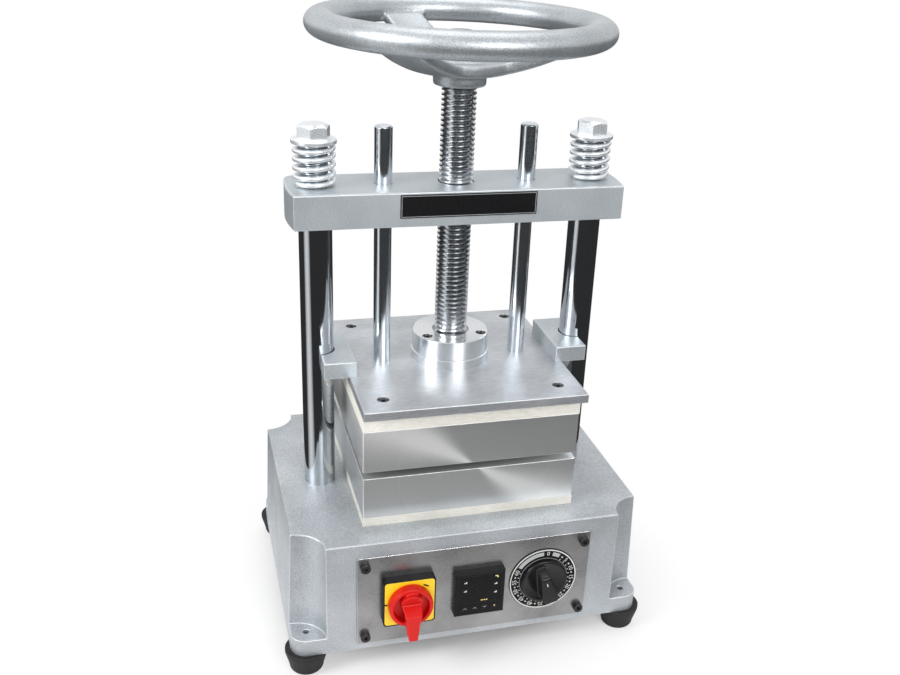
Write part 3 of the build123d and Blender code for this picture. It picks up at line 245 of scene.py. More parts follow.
def new_finish(name, dark, light, rough, metallic, pattern, depth=0.0, edge=None,
               edge_radius=0.6, edge_gain=6.0, mottling=0.25, **shader_values):
    """A material; rough is a pair, pattern gives tone and broad sockets, lengths are in mm."""
    material = bpy.data.materials.new(name)
    material.use_nodes = True
    tree = material.node_tree
    shader = tree.nodes["Principled BSDF"]
    shader.inputs["Metallic"].default_value = metallic
    for key, value in shader_values.items():
        shader.inputs[key.replace("_", " ")].default_value = value
    tone, broad = pattern(tree)
    blended = math_node(tree, "ADD", math_node(tree, "MULTIPLY", tone, 1 - mottling),
                        math_node(tree, "MULTIPLY", broad, mottling))
    colour = mix_colour(tree, spread(tree, blended, NOISE_LOW, NOISE_HIGH), (*dark, 1), (*light, 1))
    normal = None
    if edge:
        # Edges take the edge colour, as wear and a painted highlight, and the rounded normal.
        edge_light = use_group(tree, "worn_and_lit_edges", Radius=edge_radius * MM, Gain=edge_gain)
        colour = mix_colour(tree, edge_light["Edge"], colour, (*edge, 1))
        normal = edge_light["Normal"]
    tree.links.new(colour, shader.inputs["Base Color"])
    tree.links.new(spread(tree, blended, NOISE_LOW, NOISE_HIGH, *rough), shader.inputs["Roughness"])
    if depth:
        bump = place(tree, "Bump", None, Height=tone, Distance=depth * MM, Strength=1.0)
        if normal:
            tree.links.new(normal, bump.inputs["Normal"])
        normal = bump.outputs[0]
    if normal:
        tree.links.new(normal, shader.inputs["Normal"])
    return material


def grained(size, stretch=(1, 1, 1), detail=3.0):
    """A pattern: grain of a size in millimetres, drawn out along the axes of stretch."""
    def build(tree):
        out = use_group(tree, "grain", Size=size * MM, Stretch=stretch, Detail=detail)
        return out["Tone"], out["Broad"]
    return build


def turned_marks(centre, plane, size, turn=0.0, painted_sweep_share=0.5, narrow=1.0):
    """A pattern: marks of a size in millimetres round a centre, with a painted reflection of light."""
    def build(tree):
        out = use_group(tree, "turned", Centre=centre, Plane=plane, Size=size * MM, Turn=turn,
                        Narrow=narrow)
        # The tone is the marks mixed with the painted reflection, by its share.
        tone = math_node(tree, "ADD", math_node(tree, "MULTIPLY", out["Tone"], 1 - painted_sweep_share),
                         math_node(tree, "MULTIPLY", out["Painted Sweep"], painted_sweep_share))
        return tone, out["Broad"]
    return build


def paint_nodes(material, *names):
    """Gives CAD nodes a finish, in every material slot that they have."""
    for name in names:
        slots = nodes[name].material_slots
        for slot in slots:
            slot.material = material
        if not slots:
            nodes[name].data.materials.append(material)
    print(material.name, "on", len(names), "nodes")

# %% [markdown]
# ## The silver casting
# The base and the handwheel are cast metal under a sprayed silver coat. The coat follows the
# sand texture of the casting, so it sparkles in fine points. A noise with a one millimetre grain,
# used for both the bump and the tone, gives that look. Every edge is painted pale, as wear and a
# painted highlight.

# %% Cast silver finishes
cast_silver = new_finish("cast_silver", (0.23, 0.25, 0.27), (0.70, 0.735, 0.77), (0.34, 0.52), 0.6,
                         grained(0.9, detail=6.0), depth=0.26, edge=(0.95, 0.96, 0.97),
                         edge_radius=1.5)
paint_nodes(cast_silver, "base_casting")
wheel_silver = new_finish("wheel_silver", (0.22, 0.24, 0.26), (0.68, 0.72, 0.75), (0.30, 0.46), 0.75,
                          grained(0.9, detail=5.0), depth=0.12, edge=(0.88, 0.90, 0.92),
                          edge_radius=1.2, edge_gain=2.0)
paint_nodes(wheel_silver, "handwheel")

# %% [markdown]
# ## Chrome, zinc and turned steel
# The columns are ground and hard chromed: almost a mirror, with very faint grinding marks round
# the bar. The guide rods are only ground, so their reflections are softer. Springs, bolts and
# washers are zinc plated, which is duller and a little blue. The spindle is bare oiled steel.

# %% Bright metal finishes
GRINDING = grained(0.35, stretch=(12, 12, 1))
chrome = new_finish("hard_chrome", (0.50, 0.53, 0.56), (0.62, 0.65, 0.68), (0.06, 0.12), 1.0,
                    GRINDING, depth=0.004, edge=(0.8, 0.8, 0.8), edge_radius=0.4)
paint_nodes(chrome, "columns")
ground_steel = new_finish("ground_steel", (0.66, 0.70, 0.75), (0.82, 0.86, 0.90), (0.12, 0.22), 1.0,
                          GRINDING, depth=0.004, edge=(0.9, 0.9, 0.9), edge_radius=0.4)
paint_nodes(ground_steel, "guide_rods")
zinc = new_finish("zinc_plate", (0.84, 0.88, 0.92), (0.94, 0.97, 0.99), (0.22, 0.36), 0.72,
                  grained(0.8), depth=0.004, edge=(0.95, 0.96, 0.97), edge_radius=0.4)
paint_nodes(zinc, "spring_left", "spring_right", "column_bolts", "spring_washers", "column_nuts",
            "guide_rod_nuts", "wheel_nut_and_washer", "small_screws")

# %% Darker metal finishes
turned_steel = new_finish("turned_steel", (0.26, 0.265, 0.27), (0.52, 0.525, 0.53), (0.16, 0.34), 1.0,
                          grained(0.3, stretch=(8, 8, 1)), depth=0.012, edge=(0.75, 0.75, 0.75),
                          edge_radius=0.3)
cut_thread = new_finish("cut_thread", (0.46, 0.475, 0.49), (0.74, 0.76, 0.78), (0.16, 0.24), 1.0,
                        grained(2.5))
paint_nodes(turned_steel, "spindle", "thrust_bearing", "wheel_key", "timer_shaft",
            "lower_heaters", "upper_heaters", "lower_probe", "upper_probe")
blackened = new_finish("blackened_steel", (0.012, 0.012, 0.013), (0.05, 0.05, 0.052), (0.28, 0.45),
                       0.6, grained(0.4), depth=0.01, edge=(0.16, 0.16, 0.165), edge_radius=0.25)
paint_nodes(blackened, "panel_screws", "top_plate_screws", "flange_screws", "fork_screws",
            "lower_platen_screws", "nut_grub_screw")
bronze = new_finish("bronze", (0.42, 0.27, 0.12), (0.62, 0.43, 0.22), (0.25, 0.42), 1.0,
                    grained(0.4, stretch=(8, 8, 1)), depth=0.01, edge=(0.8, 0.62, 0.38),
                    edge_radius=0.3)
paint_nodes(bronze, "spindle_nut", "column_bushes", "rod_bushes")

# %% [markdown]
# ## Machined aluminium
# The platens are faced with a fly cutter, so they carry circular marks, and the light on them
# shows as a bright and a dark fan, which their colour carries as a painted reflection. On the
# sides the marks have their centre in the gap between the platens, on the two flat faces in the
# middle, and the direction that a face looks in tells them apart.
# The beam, the plate and the forks are milled and rubbed down along their length, the flange
# is turned, and the panel is brushed sheet.

# %% Machined aluminium finishes
platen_low, platen_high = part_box("upper_platen")
lower_low, lower_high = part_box("lower_platen")
platen_middle = (platen_low + platen_high) / 2
lower_middle = (lower_low + lower_high) / 2
gap_z = (platen_low.z + lower_high.z) / 2
FRONT_PLANE = (1, 0, 1)
LEVEL_PLANE = (1, 1, 0)
CUTTER_MARK = 0.5
SIDE_MARKS_ASIDE = 3 * MM


def platen_marks(centre):
    """A pattern: marks round the gap on the sides, and round the middle on the flat faces, each with a
    painted reflection.
    """
    side_centre = (centre.x + SIDE_MARKS_ASIDE, centre.y, gap_z)
    # The turn sets where the bright part of the painted reflection lies on the sides.
    side_marks_with_reflection = turned_marks(side_centre, FRONT_PLANE, CUTTER_MARK, turn=math.radians(-148),
                              painted_sweep_share=0.55, narrow=10.0)
    flat_marks_with_reflection = turned_marks(centre, LEVEL_PLANE, CUTTER_MARK, turn=0.6, painted_sweep_share=0.2, narrow=2.0)

    def build(tree):
        side_tone, broad = side_marks_with_reflection(tree)
        flat_tone = flat_marks_with_reflection(tree)[0]
        normal = place(tree, "SeparateXYZ", None, Vector=place(tree, "TexCoord").outputs["Normal"])
        level = spread(tree, math_node(tree, "ABSOLUTE", normal.outputs[2]), 0.6, 0.8)
        tone = place(tree, "Mix", {"data_type": "FLOAT"}, _0=level, _2=side_tone, _3=flat_tone)
        return tone.outputs[0], broad
    return build


def platen_finish(name, centre):
    """Fly-cut aluminium for one of the platens, with a painted reflection in its colour."""
    return new_finish(name, (0.56, 0.57, 0.57), (0.98, 0.99, 0.98), (0.34, 0.46), 0.80,
                      platen_marks(centre), depth=0.012, edge=(0.92, 0.92, 0.91), edge_radius=0.9,
                      edge_gain=5.0, mottling=0.15)


paint_nodes(platen_finish("upper_platen_metal", platen_middle), "upper_platen")
paint_nodes(platen_finish("lower_platen_metal", lower_middle), "lower_platen")

# %% Milled aluminium, the flange and the sheets
beam_metal = new_finish("beam_aluminium", (0.40, 0.435, 0.46), (0.66, 0.715, 0.75), (0.34, 0.50), 0.65,
                        grained(0.7, stretch=(2.5, 1, 1), detail=5.0), depth=0.05,
                        edge=(0.97, 0.98, 0.99), edge_radius=1.1, edge_gain=7.0)
paint_nodes(beam_metal, "crossbeam", "fork_left", "fork_right")
plate_metal = new_finish("plate_aluminium", (0.36, 0.375, 0.395), (0.70, 0.725, 0.76), (0.32, 0.46),
                         0.75, grained(0.7, stretch=(9, 1.2, 1)), depth=0.006,
                         edge=(0.95, 0.95, 0.95), edge_radius=0.8, mottling=0.5)
paint_nodes(plate_metal, "top_plate")
flange_low, flange_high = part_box("flange_upper")
spindle_axis = (flange_low + flange_high) / 2
# The flange's colour carries a faint painted reflection round the spindle.
flange_metal = new_finish("flange_steel", (0.62, 0.64, 0.66), (0.86, 0.88, 0.90), (0.16, 0.28), 1.0,
                          turned_marks((0, spindle_axis.y, 0), LEVEL_PLANE, 0.35, painted_sweep_share=0.25),
                          depth=0.006, edge=(0.9, 0.9, 0.9), edge_radius=0.5)
paint_nodes(flange_metal, "flange_upper", "flange_lower")
panel_metal = new_finish("panel_stainless", (0.19, 0.188, 0.19), (0.47, 0.466, 0.47), (0.22, 0.36),
                         0.95, grained(0.3, stretch=(22, 1, 1), detail=4.0), depth=0.006,
                         edge=(0.97, 0.97, 0.97), edge_radius=0.8, edge_gain=7.0, mottling=0.6)
paint_nodes(panel_metal, "front_panel")
grey_sheet = new_finish("grey_sheet", (0.20, 0.205, 0.21), (0.28, 0.285, 0.29), (0.45, 0.6), 0.2,
                        grained(0.7), depth=0.02, edge=(0.4, 0.4, 0.4), edge_radius=0.4)
paint_nodes(grey_sheet, "bottom_cover")

# %% [markdown]
# ## Board, rubber and plastics
# The insulating board is pressed from mineral fibre: cream, chalky, with short fibres lying
# flat. The feet are black rubber with a slight bloom. The instruments are black moulded
# plastic with a fine spark-eroded texture, and the switch has a yellow plate and a red handle.

# %% Board and rubber finishes
board = new_finish("cream_board", (0.54, 0.52, 0.46), (0.80, 0.785, 0.73), (0.75, 0.95), 0.0,
                   grained(1.6, stretch=(3, 3, 0.5), detail=6.0), depth=0.10, edge=(0.93, 0.92, 0.87),
                   edge_radius=0.8, mottling=0.4)
paint_nodes(board, "upper_board", "lower_board")
rubber = new_finish("black_rubber", (0.008, 0.008, 0.009), (0.026, 0.026, 0.028), (0.5, 0.75), 0.0,
                    grained(0.9, detail=5.0), depth=0.06, edge=(0.05, 0.05, 0.054),
                    edge_radius=1.2, mottling=0.5, Specular_IOR_Level=0.3)
paint_nodes(rubber, "rubber_feet")

# %% Plastic finishes
black_plastic = new_finish("black_plastic", (0.005, 0.005, 0.006), (0.014, 0.014, 0.015),
                           (0.30, 0.48), 0.0, grained(0.35), depth=0.015,
                           edge=(0.035, 0.035, 0.038), edge_radius=0.5, Specular_IOR_Level=0.12)
paint_nodes(black_plastic, "switch_housing", "switch_contact_block", "controller_case",
            "controller_clip", "controller_key_1", "controller_key_2", "controller_key_3",
            "controller_key_4", "timer_knob", "timer_body", "timer_dial", "cord_gland",
            "solid_state_relay", "terminal_strip")
yellow_plastic = new_finish("yellow_plastic", (0.86, 0.56, 0.012), (0.94, 0.66, 0.02), (0.24, 0.36),
                            0.0, grained(0.8), depth=0.015, edge=(0.97, 0.80, 0.18), edge_radius=0.4)
paint_nodes(yellow_plastic, "switch_plate")
red_plastic = new_finish("red_plastic", (0.50, 0.004, 0.003), (0.68, 0.010, 0.006), (0.28, 0.42),
                         0.0, grained(0.7), depth=0.02, edge=(0.80, 0.03, 0.02), edge_radius=0.8,
                         edge_gain=2.0, Specular_IOR_Level=0.3)
paint_nodes(red_plastic, "switch_handle")
knob_black = new_finish("knob_black", (0.004, 0.004, 0.005), (0.010, 0.010, 0.011), (0.10, 0.18),
                        0.0, grained(0.8), edge=(0.03, 0.03, 0.034), Specular_IOR_Level=0.4)

# %% Window, label and printing colours
window = new_finish("smoked_window", (0.003, 0.003, 0.004), (0.007, 0.007, 0.008), (0.10, 0.18), 0.0,
                    grained(3.0), Specular_IOR_Level=0.15)
paint_nodes(window, "controller_window")
label_black = new_finish("label_black", (0.004, 0.004, 0.005), (0.010, 0.010, 0.011), (0.34, 0.46),
                         0.0, grained(2.5), Specular_IOR_Level=0.12)
paint_nodes(label_black, "beam_label")
PRINT_ROUGH = (0.5, 0.65)
PRINT_GRAIN = grained(0.6)
pale_print = new_finish("pale_print", (0.56, 0.56, 0.54), (0.70, 0.70, 0.67), PRINT_ROUGH, 0.0,
                        PRINT_GRAIN)
grey_print = new_finish("grey_print", (0.34, 0.35, 0.36), (0.46, 0.47, 0.48), PRINT_ROUGH, 0.0,
                        PRINT_GRAIN)
amber_print = new_finish("amber_print", (0.72, 0.58, 0.16), (0.86, 0.72, 0.28), PRINT_ROUGH, 0.0,
                         PRINT_GRAIN)
print("finishes ready:", len(bpy.data.materials))

# %% [markdown]
# ## Working by hand, in code
# The pieces below are modelled as at the desk: a primitive is added, its faces are picked by
# place or direction, and edit operators shape it. The loaded nodes start out selected, so each
# piece begins by clearing the selection. A finished piece keeps its object at the origin, so
# that its place is in its mesh and the patterns on it stay still when it moves.

# %% Helpers for picking and editing
def clear_selection():
    """Leaves edit mode and deselects every object."""
    if bpy.context.object and bpy.context.object.mode != "OBJECT":
        bpy.ops.object.mode_set(mode="OBJECT")
    bpy.ops.object.select_all(action="DESELECT")


def pick(piece):
    """Selects one piece alone and makes it the active one."""
    clear_selection()
    piece.select_set(True)
    bpy.context.view_layer.objects.active = piece


def edit(piece, mode, wanted=None):
    """Enters edit mode with the vertices, edges or faces selected for which wanted is true."""
    pick(piece)
    bpy.ops.object.mode_set(mode="EDIT")
    bpy.ops.mesh.select_mode(type=mode)
    bpy.ops.mesh.select_all(action="SELECT" if wanted is None else "DESELECT")
    if wanted is not None:
        bpy.ops.object.mode_set(mode="OBJECT")
        vertices = piece.data.vertices
        if mode == "VERT":
            for vertex in vertices:
                vertex.select = wanted(vertex.co)
        elif mode == "FACE":
            for face in piece.data.polygons:
                face.select = wanted(face.center, face.normal)
        else:
            for line in piece.data.edges:
                line.select = wanted(*[vertices[index].co for index in line.vertices])
        bpy.ops.object.mode_set(mode="EDIT")


def settle(piece):
    """Moves an object's place, turn and scale into its mesh."""
    pick(piece)
    bpy.ops.object.transform_apply(location=True, rotation=True, scale=True)
    return piece


print("editing helpers ready")

# %% Helpers for finishing a piece
def add_modifier(piece, kind, **settings):
    """Adds a modifier with its settings and applies it."""
    pick(piece)
    modifier = piece.modifiers.new(kind.lower(), kind)
    for key, value in settings.items():
        setattr(modifier, key, value)
    bpy.ops.object.modifier_apply(modifier=modifier.name)


def join(name, pieces):
    """Makes one object of several; it keeps the first one's place in the scene."""
    pick(pieces[0])
    for piece in pieces:
        piece.select_set(True)
    bpy.ops.object.join()
    pieces[0].name = name
    return pieces[0]


def merged_copy(node_name, name):
    """A copy of a CAD node with its own mesh, whose loose triangles are joined up."""
    clear_selection()
    copy = nodes[node_name].copy()
    copy.data = nodes[node_name].data.copy()
    copy.name = name
    bpy.context.scene.collection.objects.link(copy)
    copy.parent = None
    copy.matrix_world = nodes[node_name].matrix_world
    edit(copy, "VERT")
    bpy.ops.mesh.remove_doubles(threshold=0.01 * MM)
    return settle(copy)


def hand_over(piece, material, body, slot_name, *replaced, angle=35.0):
    """Smooths a finished piece, paints it and ties it to its body."""
    pick(piece)
    bpy.ops.object.shade_smooth_by_angle(angle=math.radians(angle))
    piece.data.materials.clear()
    piece.data.materials.append(material)
    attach(piece, body)
    if replaced:
        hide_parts(*replaced)
    print(piece.name, len(piece.data.polygons), "faces, on", body)


print("finishing helpers ready")

# %% [markdown]
# ## The thread of the spindle
# The measured part draws the thread as rings. The real one is a helix, and that shows in the
# way the bright and dark crescents lean. The outline of one pitch is a short upright line whose
# middle is pulled out to the crest. The Screw modifier winds it round the axis, one pitch up
# per turn, from a little too low to a little too high, and two flat cuts then close it.

# %% Wind the thread
spindle_low, spindle_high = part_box("spindle")
hub_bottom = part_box("handwheel")[0].z
flange_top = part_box("flange_upper")[1].z
AXIS_Y = (spindle_low.y + spindle_high.y) / 2
PITCH = 4.5 * MM
ROOT_R = 13.1 * MM
CREST_R = 15.5 * MM
THREAD_DEPTH = CREST_R - ROOT_R
THREAD_SIDES = 40
RUN_IN = 1.4 * PITCH
SUNK_IN_FLANGE = 3 * MM
GAP_TO_HUB = 0.2 * MM
thread_low = flange_top - SUNK_IN_FLANGE
thread_high = hub_bottom - GAP_TO_HUB
turns = int((hub_bottom - thread_low) / PITCH) + 3

clear_selection()
bpy.ops.mesh.primitive_plane_add(size=PITCH, location=(0, 0, 0), rotation=(math.pi / 2, 0, 0))
thread = settle(bpy.context.object)
edit(thread, "VERT", lambda co: co.x > 0)
bpy.ops.mesh.delete(type="VERT")
edit(thread, "EDGE")
bpy.ops.mesh.subdivide(number_cuts=11)
edit(thread, "VERT")
bpy.ops.transform.translate(value=(ROOT_R + PITCH / 2, 0, 0))
for nearer, further, height in ((0.0, 0.17, 1.0), (0.17, 0.30, 0.6), (0.30, 0.38, 0.2)):
    edit(thread, "VERT", lambda co: nearer * PITCH <= abs(co.z) < further * PITCH)
    bpy.ops.transform.translate(value=(height * THREAD_DEPTH, 0, 0))
bpy.ops.object.mode_set(mode="OBJECT")
add_modifier(thread, "SCREW", axis="Z", angle=2 * math.pi, screw_offset=PITCH, iterations=turns,
             steps=THREAD_SIDES, render_steps=THREAD_SIDES, use_merge_vertices=True,
             merge_threshold=0.02 * MM, use_smooth_shade=True)
thread.location = (0, AXIS_Y, thread_low - RUN_IN)
settle(thread)
for cut_z, keep_upper in ((thread_low, True), (thread_high, False)):
    edit(thread, "FACE")
    bpy.ops.mesh.bisect(plane_co=(0, AXIS_Y, cut_z), plane_no=(0, 0, 1), use_fill=True,
                        clear_inner=keep_upper, clear_outer=not keep_upper)
edit(thread, "FACE")
bpy.ops.mesh.normals_make_consistent(inside=False)
bpy.ops.object.mode_set(mode="OBJECT")
print("thread of", turns, "turns,", len(thread.data.polygons), "faces")

# %% [markdown]
# ## The bar of the spindle
# Below the thread is the collar that the thrust bearing holds, and above it the turned end
# for the wheel. It is one cylinder, whose upper face is inset and extruded again and again.
# The last inset is raised a little, which breaks the edge at the top of the bar.

# %% Turn the bar
def step_up(piece, radius_change, rise):
    """Narrows the top face of a turned piece, then draws it up."""
    top_z = max(vertex.co.z for vertex in piece.data.vertices)
    edit(piece, "FACE", lambda centre, normal: normal.z > 0.9 and centre.z > top_z - 0.01 * MM)
    if radius_change:
        bpy.ops.mesh.inset(thickness=radius_change)
    if rise:
        bpy.ops.mesh.extrude_region_move(TRANSFORM_OT_translate={"value": (0, 0, rise)})
    bpy.ops.object.mode_set(mode="OBJECT")


COLLAR_R = 22 * MM
COLLAR_HEIGHT = 6 * MM
CORE_R = 13.0 * MM
SHANK_R = 11.0 * MM
CHAMFER = 1.0 * MM
clear_selection()
bpy.ops.mesh.primitive_cylinder_add(vertices=72, radius=COLLAR_R, depth=COLLAR_HEIGHT,
                                    location=(0, AXIS_Y, spindle_low.z + COLLAR_HEIGHT / 2))
bar = settle(bpy.context.object)
step_up(bar, COLLAR_R - CORE_R, hub_bottom - spindle_low.z - COLLAR_HEIGHT)
step_up(bar, CORE_R - SHANK_R, spindle_high.z - hub_bottom - CHAMFER)
step_up(bar, CHAMFER, 0)
edit(bar, "FACE", lambda centre, normal: normal.z > 0.9 and centre.z > spindle_high.z - 1.5 * CHAMFER
     and (centre.xy - Vector((0, AXIS_Y))).length < CHAMFER)
bpy.ops.transform.translate(value=(0, 0, CHAMFER))
bpy.ops.object.mode_set(mode="OBJECT")
spindle = join("spindle_threaded", [bar, thread])
hand_over(spindle, cut_thread, "screw", "turned_steel", "spindle", angle=50)

# %% [markdown]
# ## The cast handwheel
# A sand casting has no sharp inner corner: spoke, rim and hub run into each other. Remeshing a
# copy of the measured wheel at a fine voxel size makes one even skin of it, and a few rounds
# of smoothing then melt the corners as the mould does.

# %% Round the handwheel
def soften(piece, voxel, rounds):
    """Gives a piece one even skin of small squares, and melts its corners."""
    add_modifier(piece, "REMESH", mode="VOXEL", voxel_size=voxel, use_smooth_shade=True)
    add_modifier(piece, "SMOOTH", factor=0.5, iterations=rounds)


wheel = merged_copy("handwheel", "handwheel_cast")
soften(wheel, voxel=1.5 * MM, rounds=8)
hand_over(wheel, wheel_silver, "screw", "cast_silver", "handwheel", angle=75)

# %% [markdown]
# ## The springs
# Each spring is a round wire wound with its ends closed. A copy of the measured wire is shaded
# smooth and given its own mesh.

# %% Smooth springs
for side in ("left", "right"):
    coil = merged_copy("spring_" + side, "coil_" + side)
    hand_over(coil, zinc, "frame", "zinc_steel", "spring_" + side, angle=70)
    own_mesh(coil)

# %% [markdown]
# ## Moulded plastic handles
# The red handle and the black timer knob are moulded, so their corners are round and their
# hollows have soft feet. A fine voxel skin over a copy of the measured shape, smoothed a
# little, gives the roundness of a moulding while the size stays true.

# %% Soften the handle and the knob
for node_name, name, material, body, slot_name in (
        ("switch_handle", "red_handle", red_plastic, "switch_lever", "red_plastic"),
        ("timer_knob", "dial_knob", knob_black, "timer_setting", "black_plastic")):
    moulding = merged_copy(node_name, name)
    soften(moulding, voxel=0.55 * MM, rounds=4)
    hand_over(moulding, material, body, slot_name, node_name, angle=70)

# %% [markdown]
# ## Printed marks
# Dials and instruments carry thin printed marks. Each mark here is a very thin slab on the
# surface: a small grid is added, stretched to the mark's length and width, given a little
# thickness, and turned to stand on the panel. On a dial its place comes from a clock angle.

# %% Helper: one printed stroke
INK = 0.12 * MM


def stroke(x, z, front_y, length, width, turn=0.0):
    """A thin slab facing the front, its length upright, turned clockwise by a number of degrees."""
    clear_selection()
    bpy.ops.mesh.primitive_grid_add(x_subdivisions=1, y_subdivisions=2, size=1.0, location=(0, 0, 0))
    piece = bpy.context.object
    piece.scale = (width, length, 1)
    settle(piece)
    edit(piece, "FACE")
    bpy.ops.mesh.extrude_region_move(TRANSFORM_OT_translate={"value": (0, 0, INK)})
    bpy.ops.mesh.select_all(action="SELECT")
    bpy.ops.mesh.normals_make_consistent(inside=False)
    bpy.ops.object.mode_set(mode="OBJECT")
    piece.rotation_euler = (math.pi / 2, math.radians(turn), 0)
    piece.location = (x, front_y, z)
    return settle(piece)


def polar(centre, radius, clock_degrees):
    """A point on a dial: the angle runs clockwise from twelve."""
    angle = math.radians(clock_degrees)
    return centre.x + radius * math.sin(angle), centre.z + radius * math.cos(angle)


dial_low, dial_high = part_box("timer_dial")
dial_centre = (dial_low + dial_high) / 2
dial_front = dial_low.y
print("dial front at y", round(dial_front / MM, 1))

# %% [markdown]
# ## The timer's scale
# The scale runs clockwise round the knob in fives, with a dot between the numbers and a row of
# ticks inside them. Plain grey bands lie on both sides of the zero, over the part that can't be
# set. The numbers are text turned into a mesh. The bands and the two circles are rings: a circle
# is filled, inset and its middle removed, and for a band two cuts through the centre leave only
# its sector.

# %% Numbers, dots and ticks round the dial
NUMBER_R = 28.7 * MM
TICK_R = 25.5 * MM
FIGURE_SIZE = 5.8 * MM
TICK = (1.2 * MM, 0.9 * MM)
DOT = (1.3 * MM, 1.6 * MM)
ZERO_CLOCK = 7.0
FIVE_CLOCK = 49.0
HALF_STEP = 11.05
scale_marks = []
for step, minutes in enumerate(range(0, 61, 5)):
    clock = FIVE_CLOCK + (step - 1) * 2 * HALF_STEP if step else ZERO_CLOCK
    clear_selection()
    bpy.ops.object.text_add(location=(0, 0, 0))
    figure = bpy.context.object
    figure.data.body = str(minutes)
    figure.data.size = FIGURE_SIZE
    figure.data.align_x = "CENTER"
    figure.data.align_y = "CENTER"
    figure.data.extrude = INK / 2
    bpy.ops.object.convert(target="MESH")
    x, z = polar(dial_centre, NUMBER_R, clock)
    figure.rotation_euler = (math.pi / 2, math.radians(clock), 0)
    figure.location = (x, dial_front - INK / 2, z)
    scale_marks.append(settle(figure))
for half in range(-1, 23):
    clock = FIVE_CLOCK + half * HALF_STEP
    x, z = polar(dial_centre, TICK_R, clock)
    scale_marks.append(stroke(x, z, dial_front, *TICK, clock))
    if half % 2:
        x, z = polar(dial_centre, NUMBER_R, clock)
        scale_marks.append(stroke(x, z, dial_front, *DOT, clock))
scale_print = join("timer_numbers", scale_marks)
hand_over(scale_print, pale_print, "frame", "black_plastic", angle=30)

# %% Rings and bands of the dial
GREY_BAND = (26.7 * MM, 30.7 * MM)


def dial_band(name, inner_r, outer_r, material, sector=None):
    """A flat ring round the dial, or the sector of it between two clock angles."""
    clear_selection()
    bpy.ops.mesh.primitive_circle_add(vertices=96, radius=outer_r, fill_type="NGON",
                                      location=(0, 0, 0))
    band = bpy.context.object
    edit(band, "FACE")
    bpy.ops.mesh.inset(thickness=outer_r - inner_r)
    bpy.ops.object.mode_set(mode="OBJECT")
    edit(band, "FACE", lambda centre, normal: centre.length < inner_r / 2)
    bpy.ops.mesh.delete(type="FACE")
    bpy.ops.object.mode_set(mode="OBJECT")
    for clock, past in zip(sector or (), (True, False)):
        angle = math.radians(clock)
        edit(band, "FACE")
        bpy.ops.mesh.bisect(plane_co=(0, 0, 0), plane_no=(math.cos(angle), -math.sin(angle), 0),
                            clear_inner=past, clear_outer=not past)
        bpy.ops.object.mode_set(mode="OBJECT")
    add_modifier(band, "SOLIDIFY", thickness=INK, offset=0.0)
    band.name = name
    band.rotation_euler = (math.pi / 2, 0, 0)
    band.location = (dial_centre.x, dial_front - INK / 2, dial_centre.z)
    settle(band)
    hand_over(band, material, "frame", "black_plastic", angle=30)


dial_band("dial_edge_ring", 32.2 * MM, 33.4 * MM, pale_print)
dial_band("dial_inner_ring", 23.7 * MM, 24.1 * MM, grey_print)
dial_band("dial_off_band", *GREY_BAND, grey_print, sector=(303, 358))
dial_band("dial_start_band", *GREY_BAND, grey_print, sector=(16, 31))

# %% [markdown]
# ## Marks on the switch, the controller and the label
# The yellow plate has a short black stroke at each of its two positions. The controller's
# window has small amber and white marks beside where its digits light up, and each key has its
# own small symbol. The bare black label on the beam has a thin grey line inside its edge. The
# pointer is a pale stroke on the knob, so it rides with the knob.

# %% Strokes on the switch plate
plate_low, plate_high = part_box("switch_plate")
plate_centre = (plate_low + plate_high) / 2
PLATE_MARK_R = 22.6 * MM
strokes = []
for clock, length, turn in ((42, 5.5, 117), (270, 3.6, 270)):
    x, z = polar(plate_centre, PLATE_MARK_R, clock)
    strokes.append(stroke(x, z, plate_low.y, length * MM, 1.5 * MM, turn))
hand_over(join("switch_strokes", strokes), label_black, "frame", "black_plastic", angle=30)

# %% Marks on the controller
window_low, window_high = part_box("controller_window")
window_centre = (window_low + window_high) / 2
window_front = window_low.y
DASH = (0.9 * MM, 2.6 * MM)
SHORT_DASH = (0.7 * MM, 1.2 * MM)
white_marks = []
for across, height in ((-14.5, 8.0), (-14.5, -1.5), (15.0, 3.5), (15.0, -6.0)):
    x = window_centre.x + across * MM
    z = window_centre.z + height * MM
    white_marks.append(stroke(x, z, window_front, *DASH))
    white_marks.append(stroke(x + 0.8 * MM, z + 1.0 * MM, window_front, *SHORT_DASH))
hand_over(join("controller_white_marks", white_marks), pale_print, "frame", "black_plastic", angle=30)
amber_marks = []
for across, height, width in ((15.5, 12.5, 3.0), (16.6, 11.2, 1.4), (2.0, -13.3, 2.0),
                              (4.6, -13.3, 1.6), (6.8, -13.3, 1.4)):
    x = window_centre.x + across * MM
    z = window_centre.z + height * MM
    amber_marks.append(stroke(x, z, window_front, 1.0 * MM, width * MM))
hand_over(join("controller_amber_marks", amber_marks), amber_print, "frame", "black_plastic", angle=30)

# %% Symbols on the keys
# Each symbol is two lines: their places across the key in mm, turns, length and width in mm.
UPWARDS = ((0.75, -0.75), (-45, 45), 2.1, 0.35)
DOWNWARDS = ((0.75, -0.75), (45, -45), 2.1, 0.35)
CROSS = ((0, 0), (0, 90), 1.9, 0.5)
for number, symbol, colour in ((1, UPWARDS, grey_print), (2, UPWARDS, grey_print),
                               (3, DOWNWARDS, grey_print), (4, CROSS, amber_print)):
    key_low, key_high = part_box("controller_key_%d" % number)
    key_centre = (key_low + key_high) / 2
    asides, tilts, length, width = symbol
    lines = []
    for aside, tilt in zip(asides, tilts):
        lines.append(stroke(key_centre.x + aside * MM, key_centre.z, key_low.y, length * MM,
                            width * MM, tilt))
    hand_over(join("key_symbol_%d" % number, lines), colour, "key_%d" % number, "black_plastic",
              angle=30)

